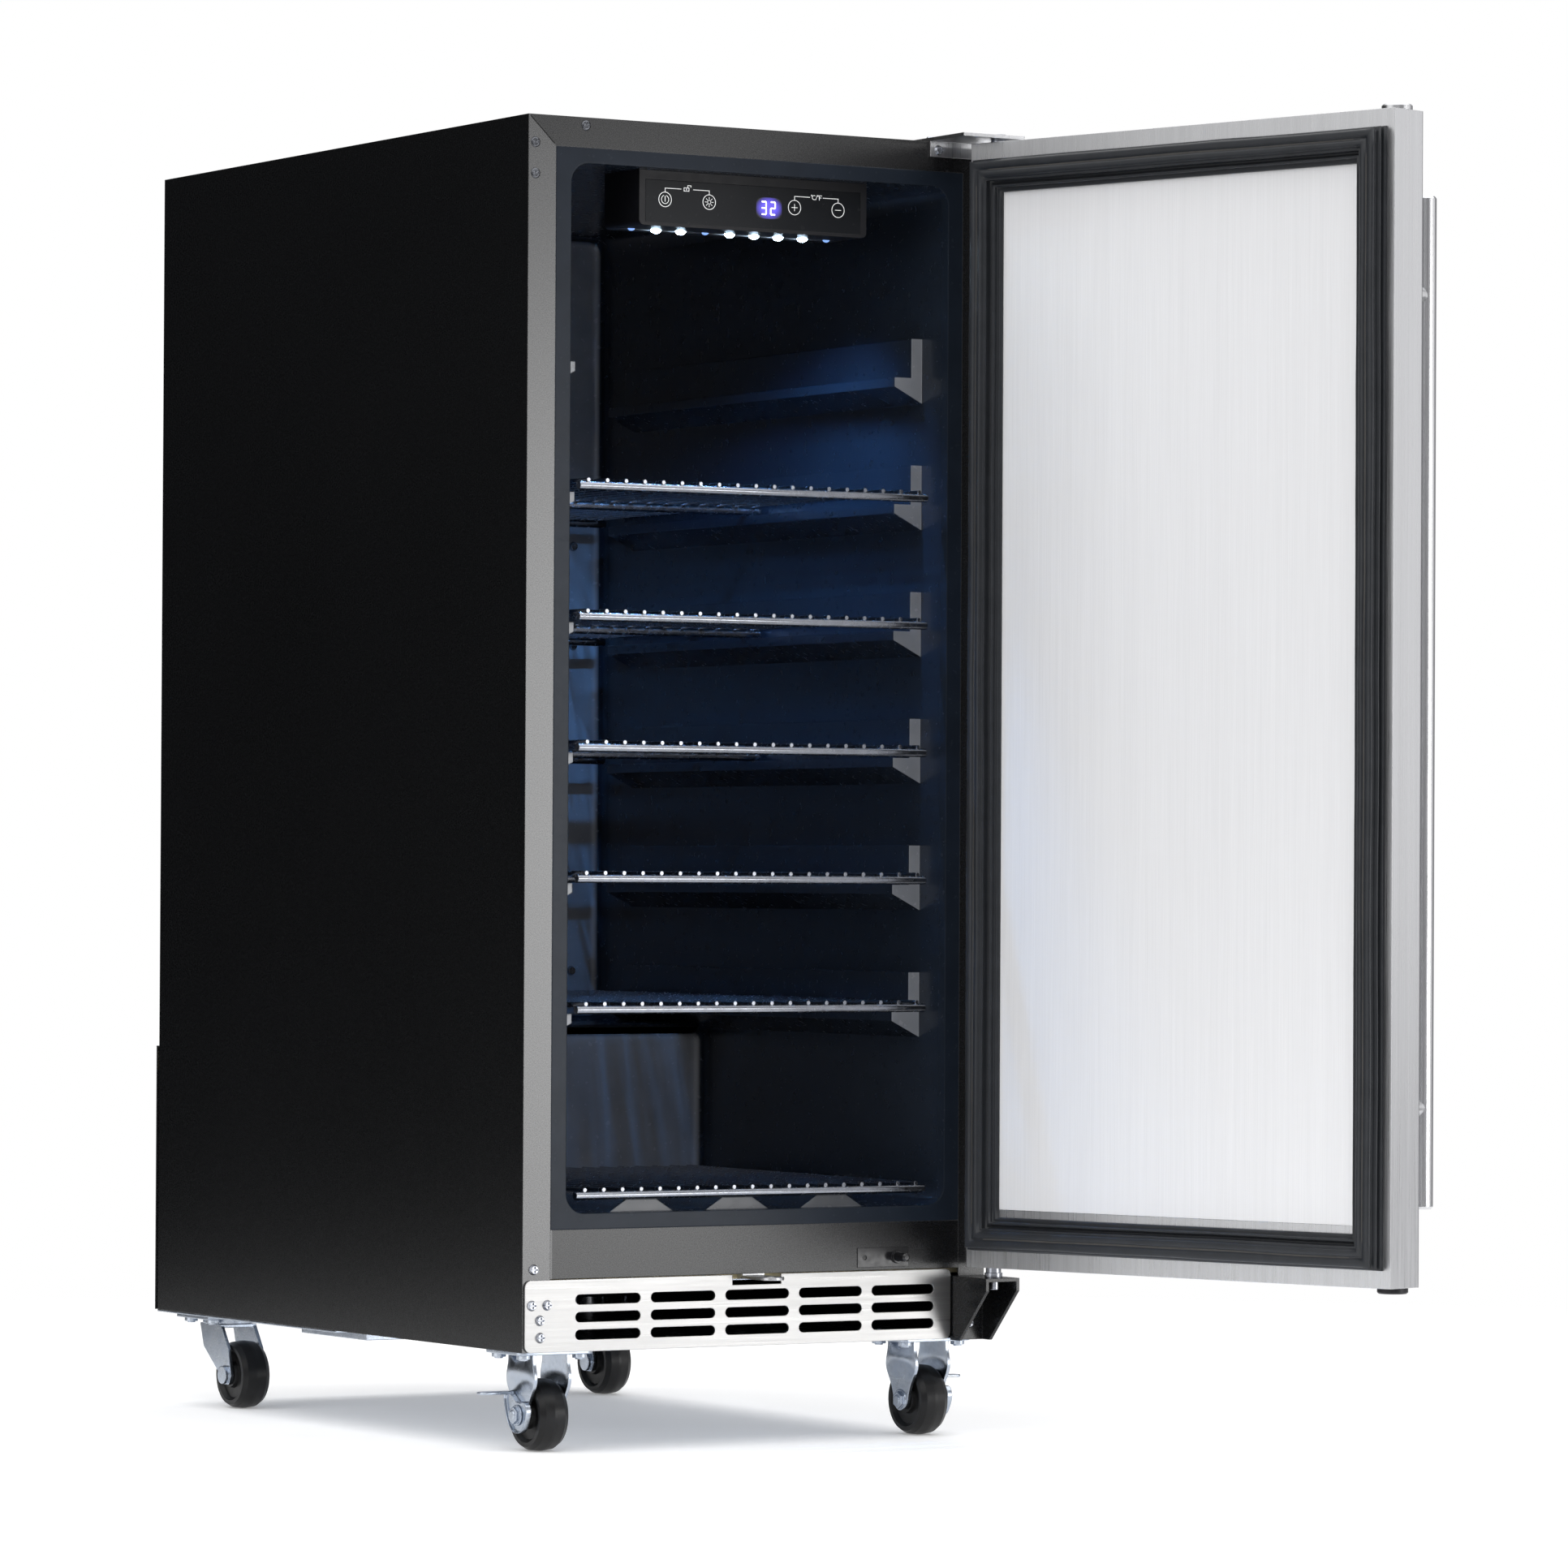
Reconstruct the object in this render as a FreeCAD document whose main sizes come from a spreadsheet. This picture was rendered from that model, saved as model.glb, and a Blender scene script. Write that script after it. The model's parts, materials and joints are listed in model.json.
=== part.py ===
import FreeCAD, Part
import math
import os
import Sketcher

# Undercounter mini fridge on four casters, standing open at its real size, in millimetres.
# X runs across the front, Y runs from the front to the back and Z runs up from the floor.
# The model is laid out about the middle of the cabinet's front edge at floor level, and the
# last step moves every piece so that the origin is under the middle of the whole open unit.

doc = FreeCAD.newDocument("MiniFridge")
sheet = doc.addObject("Spreadsheet::Sheet", "Sizes")
rows_used = []


class Dim:
    """A length that carries both its value and the sheet expression that it comes from."""

    def __init__(self, text, value):
        self.text = text
        self.value = float(value)

    def __add__(self, other):
        other = dim(other)
        return Dim(f"({self.text} + {other.text})", self.value + other.value)

    def __sub__(self, other):
        other = dim(other)
        return Dim(f"({self.text} - {other.text})", self.value - other.value)

    def __mul__(self, other):
        other = dim(other)
        return Dim(f"({self.text} * {other.text})", self.value * other.value)

    def __truediv__(self, other):
        other = dim(other)
        return Dim(f"({self.text} / {other.text})", self.value / other.value)

    def __radd__(self, other):
        return dim(other) + self

    def __rsub__(self, other):
        return dim(other) - self

    def __rmul__(self, other):
        return dim(other) * self

    def __neg__(self):
        return Dim(f"(0 - {self.text})", -self.value)

    def __float__(self):
        return self.value


def dim(number):
    """Any number or Dim as a Dim."""
    return number if isinstance(number, Dim) else Dim(f"({float(number)!r})", number)


def size(alias, value, note):
    """One driving dimension: a row of the sheet with its note, its value and its alias."""
    rows_used.append(alias)
    row = len(rows_used)
    sheet.set(f"A{row}", note)
    sheet.set(f"B{row}", str(value))
    sheet.setAlias(f"B{row}", alias)
    return Dim(f"Sizes.{alias}", value)


# ---------------------------------------------------------------- driving dimensions

# Cabinet
cab_width = size("cab_width", 376.0, "cabinet width")
cab_depth = size("cab_depth", 557.0, "cabinet depth without the door")
cab_height = size("cab_height", 848.0, "cabinet height without the casters")
ride_height = size("ride_height", 70.0, "floor to cabinet underside")
sheet_steel = size("sheet_steel", 1.0, "thickness of the steel sheets")
flange_side = size("flange_side", 21.8, "front flange width at the sides")
flange_top = size("flange_top", 21.0, "front flange height at the top")
mitre_slit = size("mitre_slit", 0.6, "open joint between the front flanges")
mitre_end = size("mitre_end", 1.5, "solid end of the joint at both corners")

# Liner and cavity
liner_wall = size("liner_wall", 2.0, "liner thickness")
wall_side = size("wall_side", 34.0, "cabinet side to cavity wall")
wall_top = size("wall_top", 31.5, "cabinet top to cavity roof")
floor_height = size("floor_height", 94.5, "cabinet underside to cavity floor")
wall_back = size("wall_back", 67.0, "cavity back wall to cabinet back")
cavity_round = size("cavity_round", 14.0, "radius of the cavity's long corners")
hump_round = size("hump_round", 14.0, "radius of the step's upper edge")
hump_depth = size("hump_depth", 155.0, "depth of the step over the machine bay")
hump_height = size("hump_height", 121.5, "height of the step over the machine bay")
bay_foam = size("bay_foam", 35.0, "insulation between the step and the machine bay")
duct_height = size("duct_height", 46.0, "height of the air duct under the insulation")
rib_width = size("rib_width", 54.0, "floor rib width at its base")
rib_top = size("rib_top", 24.0, "floor rib width at its top")
rib_height = size("rib_height", 8.5, "floor rib height")
rib_pitch = size("rib_pitch", 77.4, "floor rib spacing")
rib_count = size("rib_count", 3, "number of full floor ribs")

# Shelf supports and shelves
ledge_count = size("ledge_count", 6, "shelf support levels")
ledge_low = size("ledge_low", 14.9, "step over the machine bay to the lowest ledge")
ledge_high = size("ledge_high", 134.1, "cavity roof to the highest ledge")
ledge_reach = size("ledge_reach", 23.0, "ledge reach from the cavity wall")
ledge_bar = size("ledge_bar", 9.0, "thickness of the bar above a ledge")
ledge_bar_height = size("ledge_bar_height", 28.0, "height of the bar above a ledge")
ledge_lip = size("ledge_lip", 6.5, "height of a ledge's edge")
ledge_drop = size("ledge_drop", 18.5, "height of a support below its ledge")
ledge_front = size("ledge_front", 34.0, "front edge to the start of the supports")
ledge_back = size("ledge_back", 50.0, "back wall to the end of the supports")
shelf_count = size("shelf_count", 5, "number of wire shelves")
shelf_side_gap = size("shelf_side_gap", 12.0, "cavity wall to shelf wire ends")
shelf_front = size("shelf_front", 9.0, "front edge to the shelf's front bar")
shelf_back = size("shelf_back", 25.0, "back wall to the shelf's rear bar")
bar_radius = size("bar_radius", 3.0, "shelf cross bar radius")
wire_radius = size("wire_radius", 1.5, "shelf wire radius")
wire_count = size("wire_count", 19, "wires on a shelf")
wire_sink = size("wire_sink", 0.6, "depth of a wire's weld into its bar")
rest_gap = size("rest_gap", 0.3, "gap under a piece that rests and slides")

# Front rail, kick plate and switch
rail_low = size("rail_low", 50.0, "cabinet underside to the front rail")
rail_high = size("rail_high", 83.7, "cabinet underside to the top of the rail")
rail_depth = size("rail_depth", 12.0, "depth of the front rail")
kick_height = size("kick_height", 49.5, "kick plate height")
kick_thick = size("kick_thick", 1.6, "kick plate thickness")
kick_left = size("kick_left", 1.2, "cabinet side to kick plate, free side")
kick_right = size("kick_right", 29.0, "cabinet side to kick plate, hinge side")
kick_round = size("kick_round", 5.0, "kick plate corner radius")
slot_length = size("slot_length", 51.7, "air slot length")
slot_height = size("slot_height", 7.0, "air slot height")
slot_rise = size("slot_rise", 12.1, "air slot spacing upward")
slot_low = size("slot_low", 11.5, "cabinet underside to the lowest slot")
slot_side = size("slot_side", 39.8, "plate edge to the first slot")
slot_end = size("slot_end", 14.3, "last slot to the plate's other edge")
slot_columns = size("slot_columns", 5, "air slots in a row")
slot_rows = size("slot_rows", 3, "rows of air slots")
notch_left = size("notch_left", 166.6, "cabinet side to the lock notch")
notch_width = size("notch_width", 39.7, "lock notch width")
notch_depth = size("notch_depth", 7.0, "lock notch depth")
tab_width = size("tab_width", 18.0, "lock tab width")
tab_reach = size("tab_reach", 30.0, "lock tab reach in front of the cabinet")
tab_thick = size("tab_thick", 2.0, "lock tab thickness")
tab_hole = size("tab_hole", 3.5, "lock tab hole radius")
switch_left = size("switch_left", 269.8, "cabinet side to the switch plate")
switch_width = size("switch_width", 42.5, "switch plate width")
switch_low = size("switch_low", 52.0, "cabinet underside to the switch plate")
switch_height = size("switch_height", 14.0, "switch plate height")
switch_plate = size("switch_plate", 0.5, "switch plate thickness")
barrel_radius = size("barrel_radius", 6.0, "switch barrel radius")
barrel_length = size("barrel_length", 26.0, "switch barrel length")
plunger_left = size("plunger_left", 302.8, "cabinet side to the plunger's axis")
plunger_radius = size("plunger_radius", 3.0, "plunger radius")
plunger_gap = size("plunger_gap", 0.7, "plunger tip to the closed door")
plunger_length = size("plunger_length", 24.0, "plunger length")

# Door
door_gap = size("door_gap", 14.0, "cabinet front to the closed door")
door_thick = size("door_thick", 33.0, "door thickness without the gasket")
door_side = size("door_side", 1.0, "door edge inside the cabinet side")
door_low = size("door_low", 52.0, "cabinet underside to the door")
door_top = size("door_top", 3.0, "door edge below the cabinet top")
door_border = size("door_border", 28.5, "width of the door's returned border")
door_open = size("door_open", 106.5, "door angle of the open unit, in degrees")
pin_inset = size("pin_inset", 11.0, "door edge to the hinge axis")
pin_depth = size("pin_depth", 17.0, "door inner face to the hinge axis")
pin_radius = size("pin_radius", 3.0, "hinge pin radius")
bush_radius = size("bush_radius", 5.5, "hinge bush radius")
bush_length = size("bush_length", 16.0, "hinge bush length")
running = size("running", 0.06, "radial clearance of a running fit")
gasket_side = size("gasket_side", 6.4, "door edge to the gasket at the sides")
gasket_end = size("gasket_end", 12.0, "door edge to the gasket at top and bottom")
gasket_width = size("gasket_width", 24.0, "gasket width")
gasket_height = size("gasket_height", 13.2, "gasket height")
magnet_size = size("magnet_size", 4.0, "side of the magnet strips")
handle_radius = size("handle_radius", 8.0, "handle bar radius")
handle_standoff = size("handle_standoff", 33.5, "door face to the handle bar's axis")
handle_inset = size("handle_inset", 24.5, "free door edge to the handle bar's axis")
handle_low = size("handle_low", 51.0, "door's lower edge to the handle bar")
handle_high = size("handle_high", 53.5, "handle bar to the door's upper edge")
post_radius = size("post_radius", 6.35, "handle post radius")
post_low = size("post_low", 68.7, "lower end of the bar to the lower post")
post_high = size("post_high", 67.5, "upper end of the bar to the upper post")
cap_radius = size("cap_radius", 10.5, "radius of the door's corner caps")
cap_height = size("cap_height", 4.0, "height of the door's corner caps")

# Hinges
hinge_plate = size("hinge_plate", 2.5, "thickness of the hinge brackets")
hinge_width = size("hinge_width", 51.0, "width of the top hinge bracket")
hinge_nose = size("hinge_nose", 15.0, "hinge axis to the brackets' front end")
hinge_back = size("hinge_back", 22.0, "top hinge bracket's reach over the cabinet")
hinge_apron = size("hinge_apron", 11.0, "height of the top hinge bracket's apron")
foot_width = size("foot_width", 28.0, "width of the bottom hinge bracket")
foot_drop = size("foot_drop", 7.5, "door's lower edge to the bottom bracket")
foot_toe = size("foot_toe", 11.0, "depth of the bottom bracket at its lower end")

# Casters
wheel_radius = size("wheel_radius", 25.0, "caster wheel radius")
wheel_width = size("wheel_width", 22.0, "caster wheel width")
axle_radius = size("axle_radius", 4.0, "caster axle radius")
fork_gap = size("fork_gap", 1.2, "wheel face to fork leg")
fork_plate = size("fork_plate", 2.5, "thickness of the caster plates and legs")
caster_side = size("caster_side", 33.0, "cabinet side to the wheels' middle")
caster_front = size("caster_front", 34.5, "cabinet front to the front axles")
swivel_rear = size("swivel_rear", 52.0, "cabinet back to the rear swivel axes")
swivel_trail = size("swivel_trail", 24.0, "swivel axis to the rear axles")
plate_length = size("plate_length", 60.0, "caster plate width")
plate_depth = size("plate_depth", 51.0, "caster plate depth")
race_radius = size("race_radius", 19.0, "swivel race radius")
race_height = size("race_height", 4.0, "swivel race height")
bolt_radius = size("bolt_radius", 3.0, "caster bolt radius")
bolt_head = size("bolt_head", 3.0, "height of the caster bolts' heads")
bolt_inset = size("bolt_inset", 8.0, "caster plate edge to its bolts")
leg_half = size("leg_half", 17.0, "half the width of a fork leg at its top")
leg_swell = size("leg_swell", 3.0, "how far a leg widens below its top")
leg_foot = size("leg_foot", 9.0, "half the width of a leg at the axle")
nut_rim = size("nut_rim", 2.6, "axle nut beyond the axle's radius")
nut_height = size("nut_height", 3.0, "axle nut thickness")
brake_nut = size("brake_nut", 4.0, "thickness of the nut beside a brake")
pedal_reach = size("pedal_reach", 25.0, "brake pedal reach")
pedal_width = size("pedal_width", 17.0, "brake pedal width")
pedal_thick = size("pedal_thick", 2.0, "thickness of the brake plate and pedal")
pedal_rise = size("pedal_rise", 14.0, "axle to the pedal's underside")
pedal_end = size("pedal_end", 18.0, "axle to the pedal's rear edge")

# Controls and light
pod_offset = size("pod_offset", 1.0, "housing's middle right of the cabinet's middle")
pod_width = size("pod_width", 186.0, "control housing width")
pod_height = size("pod_height", 38.5, "control housing height below the roof")
pod_front = size("pod_front", 14.0, "front edge to the control housing")
pod_depth = size("pod_depth", 48.0, "control housing depth")
glass_margin = size("glass_margin", 5.0, "housing edge around the touch panel")
glass_thick = size("glass_thick", 1.6, "touch panel thickness")
lamp_count = size("lamp_count", 9, "number of lamps")
lamp_pitch = size("lamp_pitch", 20.0, "lamp spacing")
lamp_side = size("lamp_side", 5.0, "lamp size")

# Machine bay
rear_cover_height = size("rear_cover_height", 197.5, "height of the rear cover")
rear_cover_bulge = size("rear_cover_bulge", 4.5, "how far the rear cover stands out")
shell_radius = size("shell_radius", 56.0, "compressor shell radius")
shell_height = size("shell_height", 128.0, "compressor shell height")
fan_side = size("fan_side", 120.0, "fan frame side")
fan_depth = size("fan_depth", 25.0, "fan frame depth")
fan_bore = size("fan_bore", 57.0, "fan bore radius")
fan_tip = size("fan_tip", 1.5, "fan blade tip clearance")
fan_hub = size("fan_hub", 20.0, "fan hub radius")
fan_shaft = size("fan_shaft", 2.0, "fan shaft radius")
fan_blades = size("fan_blades", 7, "number of fan blades")
pipe_radius = size("pipe_radius", 3.2, "refrigerant pipe radius")
fin_count = size("fin_count", 16, "condenser fins")
gland_radius = size("gland_radius", 9.0, "mains inlet gland radius")

# Fasteners
head_radius = size("head_radius", 3.7, "screw head radius")
head_height = size("head_height", 2.2, "screw head height")
shank_radius = size("shank_radius", 1.6, "screw shank radius")
recess_width = size("recess_width", 0.9, "width of a cross recess")
recess_length = size("recess_length", 4.4, "length of a cross recess")
flat_head = size("flat_head", 0.5, "head height of the black frame screws")

# ---------------------------------------------------------------- shared places

side_right = cab_width / 2
side_left = -side_right
base = ride_height
roof = base + cab_height
in_left = side_left + sheet_steel
in_right = side_right - sheet_steel
cavity_left = side_left + wall_side
cavity_right = side_right - wall_side
cavity_floor = base + floor_height
cavity_roof = roof - wall_top
cavity_depth = cab_depth - wall_back
hump_front = cavity_depth - hump_depth
hump_top = cavity_floor + hump_height
lowest_ledge = hump_top + ledge_low
ledge_pitch = (cavity_roof - ledge_high - lowest_ledge) / (ledge_count - 1)
bay_front = hump_front + liner_wall + bay_foam
bay_roof = hump_top - liner_wall - bay_foam
duct_roof = base + duct_height
bay_end = cab_depth - sheet_steel
switch_axis = base + switch_low + switch_height / 2
hinge_x = side_right - door_side - pin_inset
hinge_y = -(door_gap + pin_depth)
door_back = -door_gap
door_face = -(door_gap + door_thick)
door_bottom = base + door_low
door_roof = roof - door_top
door_left = side_left + door_side
door_right = side_right - door_side


# ---------------------------------------------------------------- tools for building

def bind(item, sizes):
    """Ties properties of an object to sheet expressions."""
    for name, value in sizes.items():
        item.setExpression(name, dim(value).text)


def box(x0, x1, y0, y1, z0, z1):
    """A block between two values along each axis."""
    item = doc.addObject("Part::Box", "Block")
    x0, x1, y0, y1, z0, z1 = [dim(value) for value in (x0, x1, y0, y1, z0, z1)]
    bind(item, {"Length": x1 - x0, "Width": y1 - y0, "Height": z1 - z0})
    bind(item, {"Placement.Base.x": x0, "Placement.Base.y": y0, "Placement.Base.z": z0})
    return item


TURNS = {
    "X": FreeCAD.Rotation(FreeCAD.Vector(0, 1, 0), 90),
    "Y": FreeCAD.Rotation(FreeCAD.Vector(1, 0, 0), -90),
    "Z": FreeCAD.Rotation(),
}


def place_along(item, axis, first, second, low):
    """Puts an object drawn along Z at a point of its axis, along X, Y or Z."""
    item.Placement = FreeCAD.Placement(FreeCAD.Vector(), TURNS[axis])
    spots = {"X": (low, first, second), "Y": (first, low, second), "Z": (first, second, low)}
    x, y, z = spots[axis]
    bind(item, {"Placement.Base.x": x, "Placement.Base.y": y, "Placement.Base.z": z})


def rod(axis, first, second, radius, low, high):
    """A cylinder along an axis, through its two other coordinates, from low to high."""
    item = doc.addObject("Part::Cylinder", "Rod")
    bind(item, {"Radius": radius, "Height": dim(high) - low})
    place_along(item, axis, first, second, low)
    return item


def cone(axis, first, second, low_radius, high_radius, low, high):
    """A truncated cone along an axis, with its radii at low and high."""
    item = doc.addObject("Part::Cone", "Cone")
    bind(item, {"Radius1": low_radius, "Radius2": high_radius, "Height": dim(high) - low})
    place_along(item, axis, first, second, low)
    return item


def ring(axis, first, second, inner, outer, low, high):
    """A tube along an axis."""
    return cut(
        rod(axis, first, second, outer, low, high), rod(axis, first, second, inner, low, high)
    )


def fuse(*items):
    """One solid, or one set of solids, out of several."""
    if len(items) == 1:
        return items[0]
    item = doc.addObject("Part::MultiFuse", "Fuse")
    item.Shapes = list(items)
    return item


def cut(stock, *tools):
    """A piece with others taken out of it."""
    item = doc.addObject("Part::Cut", "Cut")
    item.Base = stock
    item.Tool = fuse(*tools)
    return item


def group(*items):
    """Separate solids that make up one node."""
    item = doc.addObject("Part::Compound", "Group")
    item.Links = list(items)
    return item


PLANE_ROLES = {"XY": "XY_Plane", "XZ": "XZ_Plane", "YZ": "YZ_Plane"}


def new_body(name):
    """An empty body."""
    item = doc.addObject("PartDesign::Body", "Body")
    item.Label = name + "_body"
    return item


def draw(body, plane, level, *outlines):
    """A sketch on one of the body's own planes, moved to a level along its normal axis.

    An outline is ("polygon", points), ("circle", centre, radius) or ("slot", ends, radius).
    """
    sketch = body.newObject("Sketcher::SketchObject", "Sketch")
    features = body.Origin.OriginFeatures
    support = [f for f in features if f.Role == PLANE_ROLES[plane]][0]
    sketch.AttachmentSupport = [(support, "")]
    sketch.MapMode = "FlatFace"
    # the XZ plane's normal points along -Y
    offset = -dim(level) if plane == "XZ" else dim(level)
    sketch.setExpression("AttachmentOffset.Base.z", offset.text)
    for outline in outlines:
        DRAWERS[outline[0]](sketch, *outline[1:])
    return sketch


def spot(first, second):
    """A point in a sketch."""
    return FreeCAD.Vector(float(first), float(second), 0)


def pin_point(sketch, geometry, corner, first, second):
    """Ties a point of a sketch to its two coordinates."""
    for kind, value in (("DistanceX", dim(first)), ("DistanceY", dim(second))):
        made = Sketcher.Constraint(kind, -1, 1, geometry, corner, float(value))
        index = sketch.addConstraint(made)
        sketch.setExpression(f"Constraints[{index}]", value.text)


def set_radius(sketch, geometry, radius):
    """Ties the radius of a circle or an arc."""
    index = sketch.addConstraint(Sketcher.Constraint("Radius", geometry, float(radius)))
    sketch.setExpression(f"Constraints[{index}]", dim(radius).text)


def draw_polygon(sketch, points):
    """A closed outline through points, each tied to its two coordinates."""
    first = sketch.GeometryCount
    count = len(points)
    for i in range(count):
        start, end = spot(*points[i]), spot(*points[(i + 1) % count])
        sketch.addGeometry(Part.LineSegment(start, end), False)
    for i in range(count):
        after = first + (i + 1) % count
        sketch.addConstraint(Sketcher.Constraint("Coincident", first + i, 2, after, 1))
    for i in range(count):
        pin_point(sketch, first + i, 1, *points[i])


def draw_circle(sketch, centre, radius):
    """A circle tied to its centre and radius."""
    up = FreeCAD.Vector(0, 0, 1)
    made = Part.Circle(spot(*centre), up, float(radius))
    geometry = sketch.addGeometry(made, False)
    set_radius(sketch, geometry, radius)
    pin_point(sketch, geometry, 3, *centre)


def draw_slot(sketch, ends, radius):
    """A slot with round ends, lying along the sketch's first direction."""
    (x0, y0), (x1, y1) = ends
    up = FreeCAD.Vector(0, 0, 1)
    r = float(radius)
    left = Part.ArcOfCircle(Part.Circle(spot(x0, y0), up, r), math.pi / 2, 3 * math.pi / 2)
    right = Part.ArcOfCircle(Part.Circle(spot(x1, y1), up, r), -math.pi / 2, math.pi / 2)
    start = sketch.addGeometry(left, False)
    end = sketch.addGeometry(right, False)
    low = sketch.addGeometry(Part.LineSegment(spot(x0, y0 - r), spot(x1, y1 - r)), False)
    high = sketch.addGeometry(Part.LineSegment(spot(x1, y1 + r), spot(x0, y0 + r)), False)
    for joint in ((start, 2, low, 1), (low, 2, end, 1), (end, 2, high, 1), (high, 2, start, 1)):
        sketch.addConstraint(Sketcher.Constraint("Tangent", *joint))
    pin_point(sketch, start, 3, x0, y0)
    pin_point(sketch, end, 3, x1, y1)
    set_radius(sketch, start, radius)


DRAWERS = {"polygon": draw_polygon, "circle": draw_circle, "slot": draw_slot}


def rectangle(x0, x1, y0, y1):
    """The outline of a rectangle."""
    return ("polygon", [(x0, y0), (x1, y0), (x1, y1), (x0, y1)])


def add(body, plane, low, high, *outlines):
    """Adds outlines to a body, from low to high along the plane's axis."""
    level = high if plane == "XZ" else low
    pad = body.newObject("PartDesign::Pad", "Pad")
    pad.Profile = draw(body, plane, level, *outlines)
    bind(pad, {"Length": dim(high) - low})
    doc.recompute()
    return pad


def take(body, plane, low, high, *outlines):
    """Cuts outlines out of a body, from low to high along the plane's axis."""
    before = body.Shape.Volume
    level = high if plane == "XZ" else low
    pocket = body.newObject("PartDesign::Pocket", "Pocket")
    pocket.Profile = draw(body, plane, level, *outlines)
    pocket.Reversed = True
    bind(pocket, {"Length": dim(high) - low})
    doc.recompute()
    if body.Shape.Volume >= before - 1e-6:
        raise RuntimeError(f"a pocket in {body.Label} cuts nothing")
    return pocket


def repeat(body, feature, direction, pitch, count):
    """Repeats a feature in a row, along its sketch's H_Axis or V_Axis."""
    pattern = body.newObject("PartDesign::LinearPattern", "Row")
    pattern.Originals = [feature]
    pattern.Direction = (feature.Profile[0], [direction])
    bind(pattern, {"Length": dim(pitch) * (count - 1), "Occurrences": count})
    body.Tip = pattern
    doc.recompute()
    return pattern


def round_edges(body, radius, wanted):
    """Rounds the edges of a body whose two end points both pass a test."""
    tip = body.Tip
    names = []
    for i, edge in enumerate(tip.Shape.Edges):
        ends = [vertex.Point for vertex in edge.Vertexes]
        if len(ends) == 2 and wanted(*ends):
            names.append(f"Edge{i + 1}")
    fillet = body.newObject("PartDesign::Fillet", "Fillet")
    fillet.Base = (tip, names)
    bind(fillet, {"Radius": radius})
    body.Tip = fillet
    doc.recompute()
    return fillet


def close(a, b):
    """Whether two lengths are the same."""
    return abs(float(a) - float(b)) < 0.01


def parallel(axis, a, b):
    """Whether two points differ only along an axis."""
    return all(close(a[i], b[i]) for i in range(3) if i != "XYZ".index(axis))


def turned(body_name, axis, first, second, low, profile):
    """A solid of revolution, its profile given as (radius, height) points above low."""
    body = new_body(body_name)
    revolution = body.newObject("PartDesign::Revolution", "Revolution")
    revolution.Profile = draw(body, "XZ", 0, ("polygon", profile))
    revolution.ReferenceAxis = (revolution.Profile[0], ["V_Axis"])
    revolution.Angle = 360
    doc.recompute()
    place_along(body, axis, first, second, low)
    return body


nodes = {}
door_nodes = []


def node(name, item, on_door=False):
    """Registers a finished sub-part under its own name."""
    placed = any("Placement" in path for path, _ in item.ExpressionEngine)
    if placed or item.TypeId == "Part::Feature":
        item = group(item)
    item.Label = name
    nodes[name] = item
    if on_door:
        door_nodes.append(name)
    return item


def polyline_tube(points, radius, bend):
    """A tube along straight runs with round bends, as one solid."""
    edges = []
    last = points[0]
    for i in range(1, len(points) - 1):
        before = (points[i] - points[i - 1]).normalize()
        after = (points[i + 1] - points[i]).normalize()
        turn = before.getAngle(after)
        reach = bend * math.tan(turn / 2)
        start = points[i] - before * reach
        end = points[i] + after * reach
        inward = (after - before).normalize()
        centre = points[i] + inward * (bend / math.cos(turn / 2))
        middle = centre - inward * bend
        edges.append(Part.LineSegment(last, start).toShape())
        edges.append(Part.Arc(start, middle, end).toShape())
        last = end
    edges.append(Part.LineSegment(last, points[-1]).toShape())
    path = Part.Wire(edges)
    heading = (points[1] - points[0]).normalize()
    circle = Part.Wire([Part.makeCircle(radius, points[0], heading)])
    return path.makePipeShell([circle], True, False)


def feature(shape):
    """A shape made by code, as an object."""
    item = doc.addObject("Part::Feature", "Shape")
    item.Shape = shape
    return item


# ---------------------------------------------------------------- fasteners

def screw(axis, first, second, seat, out, shank, height=head_height):
    """A screw with a cross recess in its head; out is the side on which the head stands."""
    outer = dim(seat) + height * out
    inner = dim(seat) - dim(shank) * out
    low, high = (seat, outer) if out > 0 else (outer, seat)
    wide, narrow = head_radius, head_radius * 0.72
    if out > 0:
        head = cone(axis, first, second, wide, narrow, low, high)
        shaft = rod(axis, first, second, shank_radius, inner, seat)
        cut_low, cut_high = outer - height / 2, outer + 1
    else:
        head = cone(axis, first, second, narrow, wide, low, high)
        shaft = rod(axis, first, second, shank_radius, seat, inner)
        cut_low, cut_high = outer - 1, outer + height / 2
    a, b = dim(first), dim(second)
    long, thin = recess_length / 2, recess_width / 2
    spans = [(a - long, a + long, b - thin, b + thin), (a - thin, a + thin, b - long, b + long)]
    recess = []
    for a0, a1, b0, b1 in spans:
        if axis == "Y":
            recess.append(box(a0, a1, cut_low, cut_high, b0, b1))
        elif axis == "Z":
            recess.append(box(a0, a1, b0, b1, cut_low, cut_high))
        else:
            recess.append(box(cut_low, cut_high, a0, a1, b0, b1))
    return cut(fuse(head, shaft), *recess)


def shank_holes(axis, places, low, high):
    """The holes that screws at these places pass through."""
    return [rod(axis, a, b, shank_radius, low, high) for a, b in places]


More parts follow.
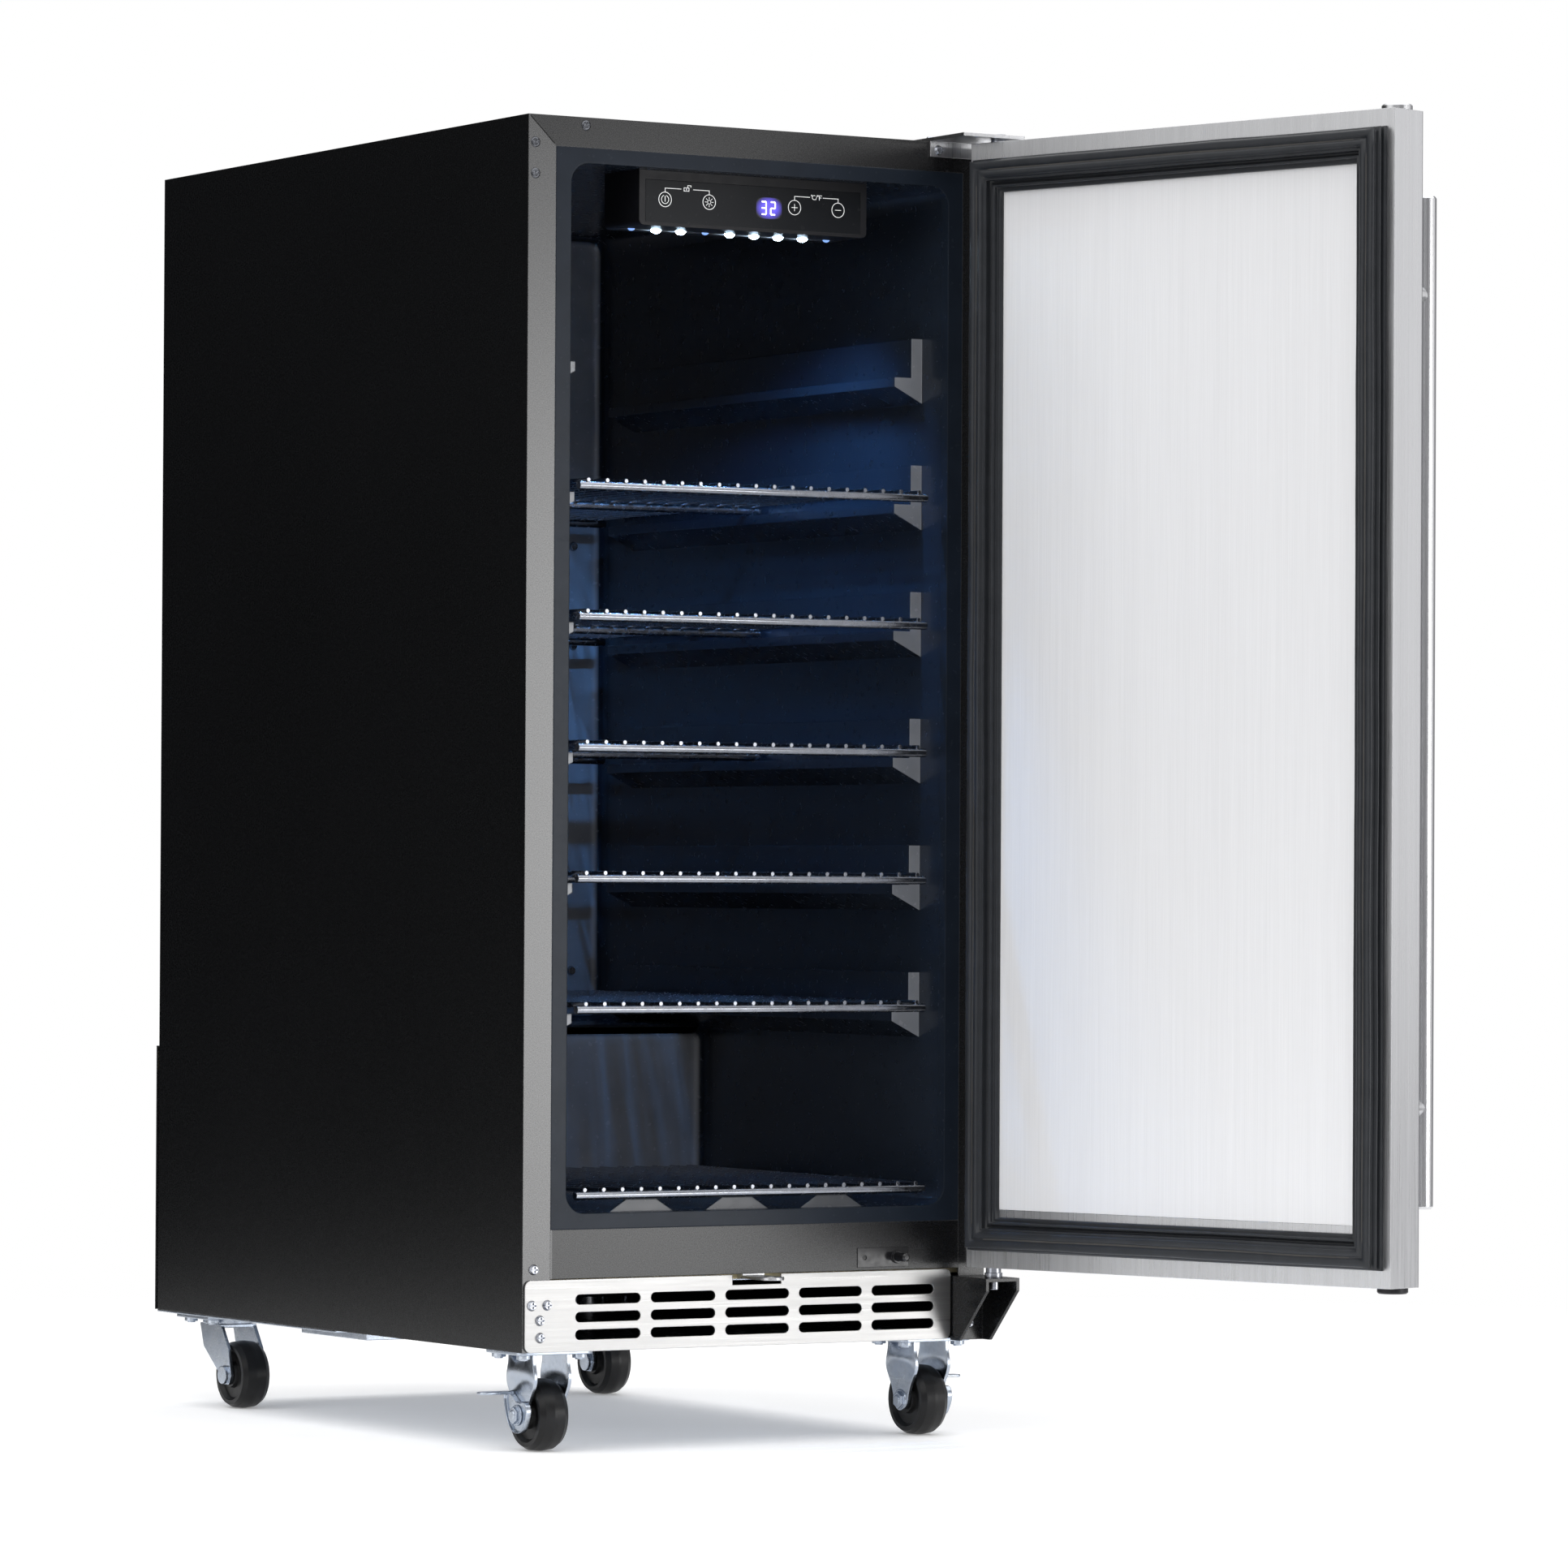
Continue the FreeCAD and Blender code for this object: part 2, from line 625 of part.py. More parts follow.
# Screws through the kick plate into the left front flange
kick_screws = [
    (side_left + 6.6, base + 32.3),
    (side_left + 18.7, base + 32.4),
    (side_left + 13.0, base + 22.0),
    (side_left + 13.3, base + 10.2),
]
rail_screw = (side_left + 8.7, base + 56.8)
frame_screw_places = [
    (side_left + 45.3, roof - 5.5),
    (side_left + 5.5, roof - 19.2),
    (side_left + 5.6, roof - 40.5),
]
apron_screw = (side_right - hinge_width + 6.7, roof - 6.3)
foot_screw = (side_right - foot_width / 2, base + 11.0)
roof_screws = [
    (side_right - hinge_width + 10, hinge_back - 9),
    (side_right - 12, hinge_back - 9),
]
back_screws = [
    (cavity_right - 25, base + height) for height in (579.0, 503.0, 254.0)
]
screw_length = dim(6.0)


# ---------------------------------------------------------------- cabinet shell

def cabinet_wrap():
    """The folded outer sheet: two sides, the top and the narrow front flanges."""
    body = new_body("cabinet_wrap")
    add(body, "XZ", 0, cab_depth, rectangle(side_left, side_right, base, roof))
    hollow = rectangle(in_left, in_right, base - 1, roof - sheet_steel)
    take(body, "XZ", sheet_steel, cab_depth + 1, hollow)
    window = rectangle(side_left + flange_side, side_right - flange_side, base - 1, roof - flange_top)
    take(body, "XZ", -1, sheet_steel + 1, window)
    for sign in (-1, 1):
        # the joint runs along the mitre, stopping short of both corners
        outer_x, outer_z = (side_right - mitre_end) * sign, roof - mitre_end
        inner_x = (side_right - flange_side + mitre_end) * sign
        inner_z = roof - flange_top + mitre_end
        slit = [(outer_x, outer_z), (inner_x, inner_z),
                (inner_x, inner_z + mitre_slit), (outer_x, outer_z + mitre_slit)]
        take(body, "XZ", -1, sheet_steel * 0.6, ("polygon", slit))
    holes = shank_holes("Y", kick_screws + [rail_screw] + frame_screw_places, -1, sheet_steel + 1)
    holes += shank_holes("Y", [apron_screw, foot_screw], -1, sheet_steel + 1)
    holes += shank_holes("Z", roof_screws, roof - sheet_steel - 1, roof + 1)
    node("cabinet_wrap", cut(body, *holes))


def front_rail():
    """The black channel between the cavity and the kick plate."""
    low, high = base + rail_low, base + rail_high
    left, right = side_left + flange_side, side_right - flange_side
    wall = sheet_steel * 1.2
    channel = cut(
        box(left, right, 0, rail_depth, low, high),
        box(left - 1, right + 1, wall, rail_depth + 1, low + wall, high - wall),
    )
    bore = rod("Y", side_left + plunger_left, switch_axis, barrel_radius, -1, rail_depth + 1)
    node("front_rail", cut(channel, bore))


def rear_panel():
    """The flat back sheet above the rear cover."""
    low = base + rear_cover_height
    node("rear_panel", box(in_left, in_right, cab_depth - sheet_steel, cab_depth, low, roof - sheet_steel))


def rear_cover():
    """The louvred cover of the machine bay, standing a little proud of the back."""
    body = new_body("rear_cover")
    top = base + rear_cover_height
    back = cab_depth + rear_cover_bulge
    add(body, "XZ", cab_depth, back, rectangle(side_left, side_right, base, top))
    hollow = rectangle(side_left - 1, side_right + 1, base - 1, top - sheet_steel)
    take(body, "XZ", cab_depth - 1, back - sheet_steel, hollow)
    slots = 9
    for side in (-1, 1):
        middle = cab_width * 0.24 * side
        reach = cab_width * 0.14
        ends = ((middle - reach, base + 40), (middle + reach, base + 40))
        first = take(body, "XZ", back - sheet_steel - 1, back + 1, ("slot", ends, dim(2.0)))
        repeat(body, first, "V_Axis", (rear_cover_height - 75) / (slots - 1), slots)
    gland_hole = rod("Y", side_right - 40, base + 22, gland_radius - 2.5, back - 3, back + 1)
    node("rear_cover", cut(body, gland_hole))


def machine_bay_panel():
    """The stepped sheet under the insulation, roof of the duct and of the machine bay."""
    wall = sheet_steel
    points = [
        (rail_depth, duct_roof - wall), (bay_front + wall, duct_roof - wall),
        (bay_front + wall, bay_roof - wall), (bay_end, bay_roof - wall),
        (bay_end, bay_roof), (bay_front, bay_roof),
        (bay_front, duct_roof), (rail_depth, duct_roof),
    ]
    body = new_body("machine_bay_panel")
    add(body, "YZ", in_left, in_right, ("polygon", points))
    node("machine_bay_panel", cut(body, pipe_channel()))


def bottom_panels():
    """The sheet under the duct and the heavier tray that carries the compressor."""
    wall = sheet_steel * 1.5
    split = bay_front - 100
    bottom = box(in_left, in_right, sheet_steel, split + 15, base, base + wall)
    bottom = cut(bottom, *bolt_holes(base - 5, base + 5))
    tray = box(side_left, side_right, split, cab_depth, base - wall, base)
    tray = cut(tray, *bolt_holes(base - 8, base + 8))
    node("base_pan", group(bottom, tray))
    low = box(side_left + 24, side_right - 24, split - 2, split + 98, base - wall - 6, base - wall)
    channel = cut(low, box(side_left + 26, side_right - 26, split, split + 96,
                           base - wall - 4, base - wall + 1))
    node("cross_rail", channel)


def insulation_foam():
    """The foam poured between the outer sheets and the liner."""
    points = [
        (liner_wall, roof - sheet_steel), (bay_end, roof - sheet_steel),
        (bay_end, bay_roof), (bay_front, bay_roof), (bay_front, duct_roof),
        (rail_depth, duct_roof), (rail_depth, base + rail_high), (liner_wall, base + rail_high),
    ]
    body = new_body("insulation_foam")
    add(body, "YZ", in_left, in_right, ("polygon", points))
    outer = liner_outline(liner_wall)
    take(body, "YZ", cavity_left - liner_wall, cavity_right + liner_wall, ("polygon", outer))
    room = box(cavity_left + 16, cavity_right - 16, cavity_depth + liner_wall - 1,
               cavity_depth + liner_wall + 9, hump_top + 30, cavity_roof - 30)
    holes = shank_holes("Y", back_screws, cavity_depth, cavity_depth + 16)
    holes += shank_holes("Y", frame_screw_places + [rail_screw, apron_screw], 0, 12)
    holes += shank_holes("Z", roof_screws, roof - 12, roof)
    barrel = rod("Y", side_left + plunger_left, switch_axis, barrel_radius, 0, barrel_length)
    node("insulation_foam", cut(body, room, barrel, pipe_channel(), *holes))


def liner_outline(wall):
    """The side view of the cavity, grown by a wall thickness."""
    return [
        (dim(-1), cavity_floor - wall), (hump_front + wall, cavity_floor - wall),
        (hump_front + wall, hump_top - wall), (cavity_depth + wall, hump_top - wall),
        (cavity_depth + wall, cavity_roof + wall), (dim(-1), cavity_roof + wall),
    ]


def ledge_outline(sign):
    """The end view of one shelf support on the right (+1) or left (-1) wall, lowest level."""
    wall = cavity_right * sign
    ledge = lowest_ledge
    steps = [
        (-liner_wall / 2, ledge_bar_height), (ledge_bar, ledge_bar_height),
        (ledge_bar, dim(0)), (ledge_reach, dim(0)),
        (ledge_reach, -ledge_lip), (-liner_wall / 2, -ledge_drop),
    ]
    return [(wall - reach * sign, ledge + rise) for reach, rise in steps]


def inner_liner():
    """The moulded cavity with its front lip, step, floor ribs and shelf supports."""
    body = new_body("inner_liner")
    outer = liner_outline(liner_wall)
    outer[0] = (dim(0), cavity_floor - liner_wall)
    outer[5] = (dim(0), cavity_roof + liner_wall)
    add(body, "YZ", cavity_left - liner_wall, cavity_right + liner_wall, ("polygon", outer))
    lip = rectangle(side_left + flange_side, side_right - flange_side,
                    base + rail_high, roof - flange_top)
    add(body, "XZ", 0, liner_wall, lip)
    take(body, "YZ", cavity_left, cavity_right, ("polygon", liner_outline(dim(0))))

    def long_corner(a, b):
        at_wall = close(abs(a.x), cavity_right)
        level = close(a.z, cavity_floor) or close(a.z, cavity_roof)
        return parallel("Y", a, b) and at_wall and level

    def across_at(*places):
        """A test for inner edges across the cavity at these places of its side view."""
        def wanted(a, b):
            inner = abs(a.x) < float(cavity_right) + 0.01
            at = any(close(a.y, y) and close(a.z, z) for y, z in places)
            return parallel("X", a, b) and inner and at
        return wanted

    round_edges(body, hump_round, across_at((hump_front, hump_top)))
    round_edges(body, cavity_round, long_corner)
    inner_round = cavity_round * 0.7
    round_edges(body, inner_round, across_at((hump_front, cavity_floor)))
    round_edges(body, inner_round, across_at((cavity_depth, hump_top), (cavity_depth, cavity_roof)))
    for sign in (-1, 1):
        support = add(body, "XZ", ledge_front, cavity_depth - ledge_back, ("polygon", ledge_outline(sign)))
        repeat(body, support, "V_Axis", ledge_pitch, ledge_count)
    first = -rib_pitch * 1.128
    low = cavity_floor - liner_wall / 2
    grow = rib_width / 2
    rib = [(first - grow, low), (first + grow, low),
           (first + rib_top / 2, cavity_floor + rib_height),
           (first - rib_top / 2, cavity_floor + rib_height)]
    pad = add(body, "XZ", dim(12.0), hump_front - 25, ("polygon", rib))
    repeat(body, pad, "H_Axis", rib_pitch, rib_count)
    holes = shank_holes("Y", back_screws, cavity_depth - 2, cavity_depth + 3)
    node("inner_liner", cut(body, *holes))


def evaporator_plate():
    """The roll-bond plate behind the cavity's back wall, with its raised channel."""
    low, high = hump_top + 32, cavity_roof - 32
    near = cavity_depth + liner_wall
    left, right = cavity_left + 18, cavity_right - 18
    plate = box(left, right, near, near + 1.5, low, high)
    runs = 6
    channel = []
    for i in range(runs):
        level = low + 30 + (high - low - 60) * (i / (runs - 1))
        channel.append(rod("X", near + 1.5, level, dim(2.5), left + 20, right - 20))
        if i < runs - 1:
            along = right - 24 if i % 2 == 0 else left + 24
            above = low + 30 + (high - low - 60) * ((i + 1) / (runs - 1))
            channel.append(rod("Z", along, near + 1.5, dim(2.5), level, above))
    flat = box(left - 1, right + 1, near - 5, near, low - 1, high + 1)
    holes = shank_holes("Y", back_screws, near - 1, near + 9)
    node("evaporator_plate", cut(fuse(plate, *channel), flat, *holes))


# ---------------------------------------------------------------- shelves

def wire_shelf(name, level, back):
    """One welded wire shelf: cross bars with wires lying on them."""
    left = cavity_left + shelf_side_gap
    right = cavity_right - shelf_side_gap
    front = shelf_front
    bars = [rod("X", y, level, bar_radius, left, right)
            for y in (front, (front + back) / 2, back)]
    lift = bar_radius + wire_radius - wire_sink
    first = left + 7
    pitch = (right - left - 14) / (wire_count - 1)
    wires = []
    for i in range(int(float(wire_count))):
        across = first + pitch * i
        wires.append(rod("Y", across, level + lift, wire_radius, front - 2, back + 2))
    node(name, fuse(*bars, *wires))


def shelves():
    for i in range(int(float(shelf_count))):
        # shelf_1 is the highest; the top pair of supports stays empty
        ledge = lowest_ledge + ledge_pitch * (shelf_count - 1 - i)
        wire_shelf(f"shelf_{i + 1}", ledge + bar_radius + rest_gap, cavity_depth - shelf_back)
    floor = cavity_floor + rib_height + bar_radius + rest_gap
    wire_shelf("bottom_rack", floor, hump_front - cavity_round)


# ---------------------------------------------------------------- kick plate, lock and switch

def kick_plate():
    """The stainless plate with its air slots and the notch for the lock tab."""
    body = new_body("kick_plate")
    left, right = side_left + kick_left, side_right - kick_right
    low, high = base, base + kick_height
    add(body, "XZ", -kick_thick, 0, rectangle(left, right, low, high))

    def end_corner(a, b):
        at_end = close(a.x, left) or close(a.x, right)
        return parallel("Y", a, b) and at_end

    round_edges(body, kick_round, end_corner)
    notch = side_left + notch_left
    take(body, "XZ", -kick_thick - 1, 1, rectangle(notch, notch + notch_width, high - notch_depth, high + 1))
    radius = slot_height / 2
    slot_pitch = (right - slot_end - slot_length - left - slot_side) / (slot_columns - 1)
    for row in range(int(float(slot_rows))):
        level = base + slot_low + slot_rise * row
        start = left + slot_side + radius
        ends = ((start, level), (start + slot_length - slot_height, level))
        first = take(body, "XZ", -kick_thick - 1, 1, ("slot", ends, radius))
        repeat(body, first, "H_Axis", slot_pitch, slot_columns)
    holes = shank_holes("Y", kick_screws, -kick_thick - 1, 1)
    node("kick_plate", cut(body, *holes))


def lock_tab():
    """The flat tab with a padlock hole that stands out under the door."""
    middle = side_left + notch_left + notch_width / 2
    high = base + kick_height - 1
    low = high - tab_thick
    round_end = tab_width / 2
    tip = -(tab_reach - round_end)
    plate = fuse(
        box(middle - round_end, middle + round_end, tip, rail_depth - 2, low, high),
        rod("Z", middle, tip, round_end, low, high),
        box(middle - round_end, middle + round_end, 3, rail_depth - 2, high, base + rail_low),
    )
    node("lock_tab", cut(plate, rod("Z", middle, tip, tab_hole, low - 1, high + 1)))


def door_switch():
    """The switch plate and barrel in the front rail, and its sprung plunger."""
    x = side_left + plunger_left
    z = switch_axis
    left = side_left + switch_left
    bore = plunger_radius + running
    plate = box(left, left + switch_width, -switch_plate, 0,
                base + switch_low, base + switch_low + switch_height)
    bezel = rod("Y", x, z, plunger_radius + 1.6, -switch_plate - 2, -switch_plate)
    barrel = rod("Y", x, z, barrel_radius, 0, barrel_length)
    plunger_tip = plunger_gap - door_gap
    room = rod("Y", x, z, bore, -4, plunger_tip + plunger_length + 8)
    places = [(left + 6, z)]
    holes = shank_holes("Y", places, -2, 1)
    node("door_switch_plate", cut(fuse(plate, bezel, barrel), room, *holes))
    pin = rod("Y", x, z, plunger_radius, plunger_tip + 1.2, plunger_tip + plunger_length)
    tip = cone("Y", x, z, plunger_radius * 0.6, plunger_radius, plunger_tip, plunger_tip + 1.2)
    node("door_switch_plunger", fuse(pin, tip))


# ---------------------------------------------------------------- controls and light

def controls():
    """The control housing under the cavity roof with its touch panel, display, board and lamps."""
    left = pod_offset - pod_width / 2
    right = left + pod_width
    low = cavity_roof - pod_height
    front, back = pod_front, pod_front + pod_depth
    wall = dim(2.0)
    body = new_body("control_housing")
    add(body, "XZ", front, back, rectangle(left, right, low, cavity_roof))

    def front_bottom(a, b):
        return parallel("Y", a, b) and close(a.z, low)

    round_edges(body, dim(4.0), front_bottom)
    room = rectangle(left + wall, right - wall, low + wall, cavity_roof + 1)
    take(body, "XZ", front + 4, back - wall, room)
    face = rectangle(left + glass_margin + 2, right - glass_margin - 2, low + 5, cavity_roof - 9)
    take(body, "XZ", front - 1, front + 5, face)
    seat = rectangle(left + glass_margin, right - glass_margin, low + 2.4, cavity_roof - 6.5)
    take(body, "XZ", front - 1, front + glass_thick, seat)
    strip_y = front + 33
    strip = rectangle(left + 6, right - 6, strip_y - lamp_side, strip_y + lamp_side)
    take(body, "XY", low - 1, low + wall + 1, strip)
    node("control_housing", body)
    panel = box(left + glass_margin, right - glass_margin, front, front + glass_thick,
                low + 2.4, cavity_roof - 6.5)
    node("touch_panel", panel)
    screen = left + pod_width / 2 + 1.7
    module = box(screen, screen + 19.3, front + glass_thick, front + glass_thick + 5,
                 low + 12, low + 25)
    board = box(left + 10, right - 10, front + glass_thick + 5.3, front + glass_thick + 6.9,
                low + 6, cavity_roof - 8)
    chips = [box(left + 30 + 40 * i, left + 42 + 40 * i, front + glass_thick + 6.9,
                 front + glass_thick + 9, low + 14, low + 24) for i in range(4)]
    node("control_board", group(module, fuse(board, *chips)))
    bottom = box(left + 6, right - 6, strip_y - lamp_side, strip_y + lamp_side, low + 0.6, low + 2.2)
    node("lamp_strip", bottom)
    first = (left + right) / 2 - lamp_pitch * (lamp_count - 1) / 2
    half = lamp_side / 2
    lamps = [box(first + lamp_pitch * i - half, first + lamp_pitch * i + half,
                 strip_y - half, strip_y + half, low - 1.2, low + 0.6)
             for i in range(int(float(lamp_count)))]
    node("lamps", group(*lamps))


# ---------------------------------------------------------------- hinges

def hinges():
    """The two brackets that carry the door, their pins and the washers under the door."""
    nose = hinge_y - hinge_nose
    left = side_right - hinge_width
    top = roof + hinge_plate
    plate = box(left, side_right, nose, hinge_back, roof, top)
    apron = box(left, side_right, -hinge_plate, 0, roof - hinge_apron, roof)
    holes = shank_holes("Y", [apron_screw], -hinge_plate - 1, 1)
    holes += shank_holes("Z", roof_screws, roof - 1, top + 1)
    bore = rod("Z", hinge_x, hinge_y, pin_radius, roof - 1, top + 1)
    node("top_hinge_bracket", cut(fuse(plate, apron), bore, *holes))
    seat = door_bottom - foot_drop
    shelf_low = seat - hinge_plate
    foot_left = side_right - foot_width
    gusset = [(dim(0), base - 1), (dim(0), seat), (nose, seat), (nose, seat - 9), (-foot_toe, base - 1)]
    body = new_body("bottom_hinge_bracket")
    add(body, "YZ", foot_left, side_right, ("polygon", gusset))
    room = [(-hinge_plate, base - 2), (-hinge_plate, shelf_low), (nose - 1, shelf_low), (nose - 1, base - 2)]
    take(body, "YZ", foot_left + hinge_plate, side_right - hinge_plate, ("polygon", room))
    tools = shank_holes("Y", [foot_screw], -hinge_plate - 1, 1)
    tools.append(rod("Z", hinge_x, hinge_y, pin_radius, shelf_low - 1, seat + 1))
    node("bottom_hinge_bracket", cut(body, *tools))
    upper = fuse(
        rod("Z", hinge_x, hinge_y, pin_radius, door_roof - bush_length + 1, top),
        rod("Z", hinge_x, hinge_y, pin_radius * 1.7, top, top + 1.6),
    )
    lower = fuse(
        rod("Z", hinge_x, hinge_y, pin_radius, shelf_low - 6, door_bottom + bush_length - 1),
        rod("Z", hinge_x, hinge_y, pin_radius * 1.5, shelf_low - 6, shelf_low),
    )
    lift = foot_drop - rest_gap
    cam = ring("Z", hinge_x, hinge_y, pin_radius, pin_radius * 2.1, seat, seat + lift * 0.45)
    disc = ring("Z", hinge_x, hinge_y, pin_radius, pin_radius * 1.8, seat + lift * 0.45, seat + lift)
    spacer = ring("Z", hinge_x, hinge_y, pin_radius, pin_radius * 1.8, door_roof + rest_gap, roof)
    node("hinge_pins", group(fuse(upper, spacer), fuse(lower, cam, disc)))


# ---------------------------------------------------------------- door

def bush_rooms():
    """The rooms for the hinge bushes at the door's two ends."""
    return [
        rod("Z", hinge_x, hinge_y, bush_radius, door_bottom - 1, door_bottom + bush_length),
        rod("Z", hinge_x, hinge_y, bush_radius, door_roof - bush_length, door_roof + 1),
    ]


def door():
    """The insulated door, modelled shut and turned open about its hinge at the end."""
    wall = sheet_steel
    free, hinge = door_left, door_right
    body = new_body("door_skin")
    add(body, "XZ", door_face, door_back, rectangle(free, hinge, door_bottom, door_roof))

    def upright(a, b):
        return parallel("Z", a, b) and close(a.y, door_face)

    round_edges(body, dim(2.5), upright)
    inner = rectangle(free + wall, hinge - wall, door_bottom + wall, door_roof - wall)
    take(body, "XZ", door_face + wall, door_back - wall, inner)
    window = rectangle(free + door_border, hinge - door_border,
                       door_bottom + door_border + 13, door_roof - door_border - 4)
    take(body, "XZ", door_back - wall - 1, door_back + 1, window)
    node("door_skin", cut(body, *bush_rooms()), True)
    foam = box(free + wall, hinge - wall, door_face + wall, door_back - wall,
               door_bottom + wall, door_roof - wall)
    node("door_foam", cut(foam, *bush_rooms()), True)
    panel = box(free + door_border, hinge - door_border, door_back - wall, door_back,
                door_bottom + door_border + 13, door_roof - door_border - 4)
    node("door_inner_panel", panel, True)
    gasket()
    bar_x = free + handle_inset
    bar_y = door_face - handle_standoff
    low = door_bottom + handle_low
    high = door_roof - handle_high
    tip = handle_radius * 0.2
    bar = fuse(
        rod("Z", bar_x, bar_y, handle_radius, low + tip, high - tip),
        cone("Z", bar_x, bar_y, handle_radius * 0.85, handle_radius, low, low + tip),
        cone("Z", bar_x, bar_y, handle_radius, handle_radius * 0.85, high - tip, high),
    )
    node("handle_bar", bar, True)
    posts = [rod("Y", bar_x, level, post_radius, bar_y, door_face)
             for level in (low + post_low, high - post_high)]
    posts = [cut(post, rod("Z", bar_x, bar_y, handle_radius, low, high)) for post in posts]
    node("handle_posts", group(*posts), True)
    cap_x = free + pin_inset
    top_cap = turned("door_cap_top", "Z", cap_x, hinge_y, door_roof, [
        (dim(0), dim(0)), (cap_radius, dim(0)), (cap_radius, cap_height - 1),
        (cap_radius - 1, cap_height), (dim(0), cap_height)])
    node("door_cap_top", top_cap, True)
    low_cap = turned("door_cap_bottom", "Z", cap_x, hinge_y, door_bottom - cap_height, [
        (dim(0), dim(0)), (cap_radius - 1, dim(0)), (cap_radius, dim(1.0)),
        (cap_radius, cap_height), (dim(0), cap_height)])
    node("door_cap_bottom", low_cap, True)
    bore = pin_radius + running
    bushes = [
        ring("Z", hinge_x, hinge_y, bore, bush_radius, door_bottom, door_bottom + bush_length),
        ring("Z", hinge_x, hinge_y, bore, bush_radius, door_roof - bush_length, door_roof),
    ]
    node("door_bushes", group(*bushes), True)


def gasket_ring(inset, width, low, high):
    """A mitred rectangular ring on the door's inner face, between two heights above it."""
    x0, x1 = door_left + gasket_side + inset, door_right - gasket_side - inset
    z0, z1 = door_bottom + gasket_end + inset, door_roof - gasket_end - inset
    return cut(
        box(x0, x1, door_back + low, door_back + high, z0, z1),
        box(x0 + width, x1 - width, door_back + low - 1, door_back + high + 1, z0 + width, z1 - width),
    )


def gasket():
    """The door seal: a flat foot, a bellows and a head that holds the magnet strips."""
    height = gasket_height
    foot = gasket_ring(dim(0), gasket_width, dim(0), height * 0.22)
    neck = gasket_ring(dim(3.0), gasket_width - 9, height * 0.2, height * 0.45)
    fold = gasket_ring(dim(1.2), gasket_width - 4, height * 0.4, height * 0.56)
    head = gasket_ring(dim(2.4), gasket_width - 10, height * 0.54, height)
    inset = dim(2.4) + (gasket_width - 10 - magnet_size) / 2
    low = height - 1.2 - magnet_size
    x0, x1 = door_left + gasket_side + inset, door_right - gasket_side - inset
    z0, z1 = door_bottom + gasket_end + inset, door_roof - gasket_end - inset
    gap = dim(0.15)

    def strips(grow):
        y0, y1 = door_back + low - grow, door_back + low + magnet_size + grow
        end = dim(12.0) - grow
        return [
            box(x0 - grow, x0 + magnet_size + grow, y0, y1, z0 + end, z1 - end),
            box(x1 - magnet_size - grow, x1 + grow, y0, y1, z0 + end, z1 - end),
            box(x0 + end, x1 - end, y0, y1, z0 - grow, z0 + magnet_size + grow),
            box(x0 + end, x1 - end, y0, y1, z1 - magnet_size - grow, z1 + grow),
        ]

    node("door_gasket", cut(fuse(foot, neck, fold, head), *strips(gap)), True)
    node("door_magnets", group(*strips(dim(0))), True)


# ---------------------------------------------------------------- casters

def caster_centres():
    """Left and right middle of the casters across the unit, with the outward sign."""
    return (("left", side_left + caster_side, -1), ("right", side_right - caster_side, 1))


def bolt_places(middle, centre_y):
    """The four bolts of a caster plate."""
    across, along = plate_length / 2 - bolt_inset, plate_depth / 2 - bolt_inset
    return [(middle + across * i, centre_y + along * j) for i in (-1, 1) for j in (-1, 1)]


def swivel_y():
    """Where the rear casters' swivel axes stand."""
    return cab_depth - swivel_rear


def ordered(a, b):
    """Two lengths, the smaller one first."""
    return (a, b) if float(a) <= float(b) else (b, a)


def bolt_holes(low, high):
    """Holes for all the caster bolts."""
    places = []
    for _, middle, _ in caster_centres():
        places += bolt_places(middle, caster_front) + bolt_places(middle, swivel_y())
    return [rod("Z", a, b, bolt_radius, low, high) for a, b in places]


def leg_outline(top, axle, toward):
    """The side view of a fork leg; toward moves its lower end along Y."""
    bend, drop = toward * 0.35, top - 16
    wide, toe = leg_half + leg_swell, leg_foot * 0.6
    return [
        (-leg_half, top), (leg_half, top), (bend + wide, drop), (toward + leg_foot, axle),
        (toward + toe, axle - 7), (toward - toe, axle - 7), (toward - leg_foot, axle),
        (bend - wide, drop),
    ]


def caster_legs(name, middle, centre_y, top, axle, toward):
    """Two fork legs beside a wheel, each one plate, with their axle holes."""
    inner = wheel_width / 2 + fork_gap
    outer = inner + fork_plate
    points = [(centre_y + y, z) for y, z in leg_outline(top, axle, toward)]
    legs = []
    for low, high in ((-outer, -inner), (inner, outer)):
        body = new_body(name)
        add(body, "YZ", middle + low, middle + high, ("polygon", points))
        legs.append(body)
    return legs


def wheel(name, middle, centre_y):
    """A caster wheel with a crowned tread and a hub, round its own axle."""
    half = wheel_width / 2
    bore = axle_radius + running
    axle = wheel_radius
    profile = [
        (bore, -half), (bore + 5, -half), (bore + 6, -half + 3), (wheel_radius - 8, -half + 3),
        (wheel_radius - 6, -half), (wheel_radius - 3, -half), (wheel_radius - 0.8, -half + 3.5),
        (wheel_radius, dim(-1.0)), (wheel_radius, dim(1.0)), (wheel_radius - 0.8, half - 3.5),
        (wheel_radius - 3, half), (wheel_radius - 6, half), (wheel_radius - 8, half - 3),
        (bore + 6, half - 3), (bore + 5, half), (bore, half),
    ]
    node(name, turned(name, "X", centre_y, axle, middle, profile))


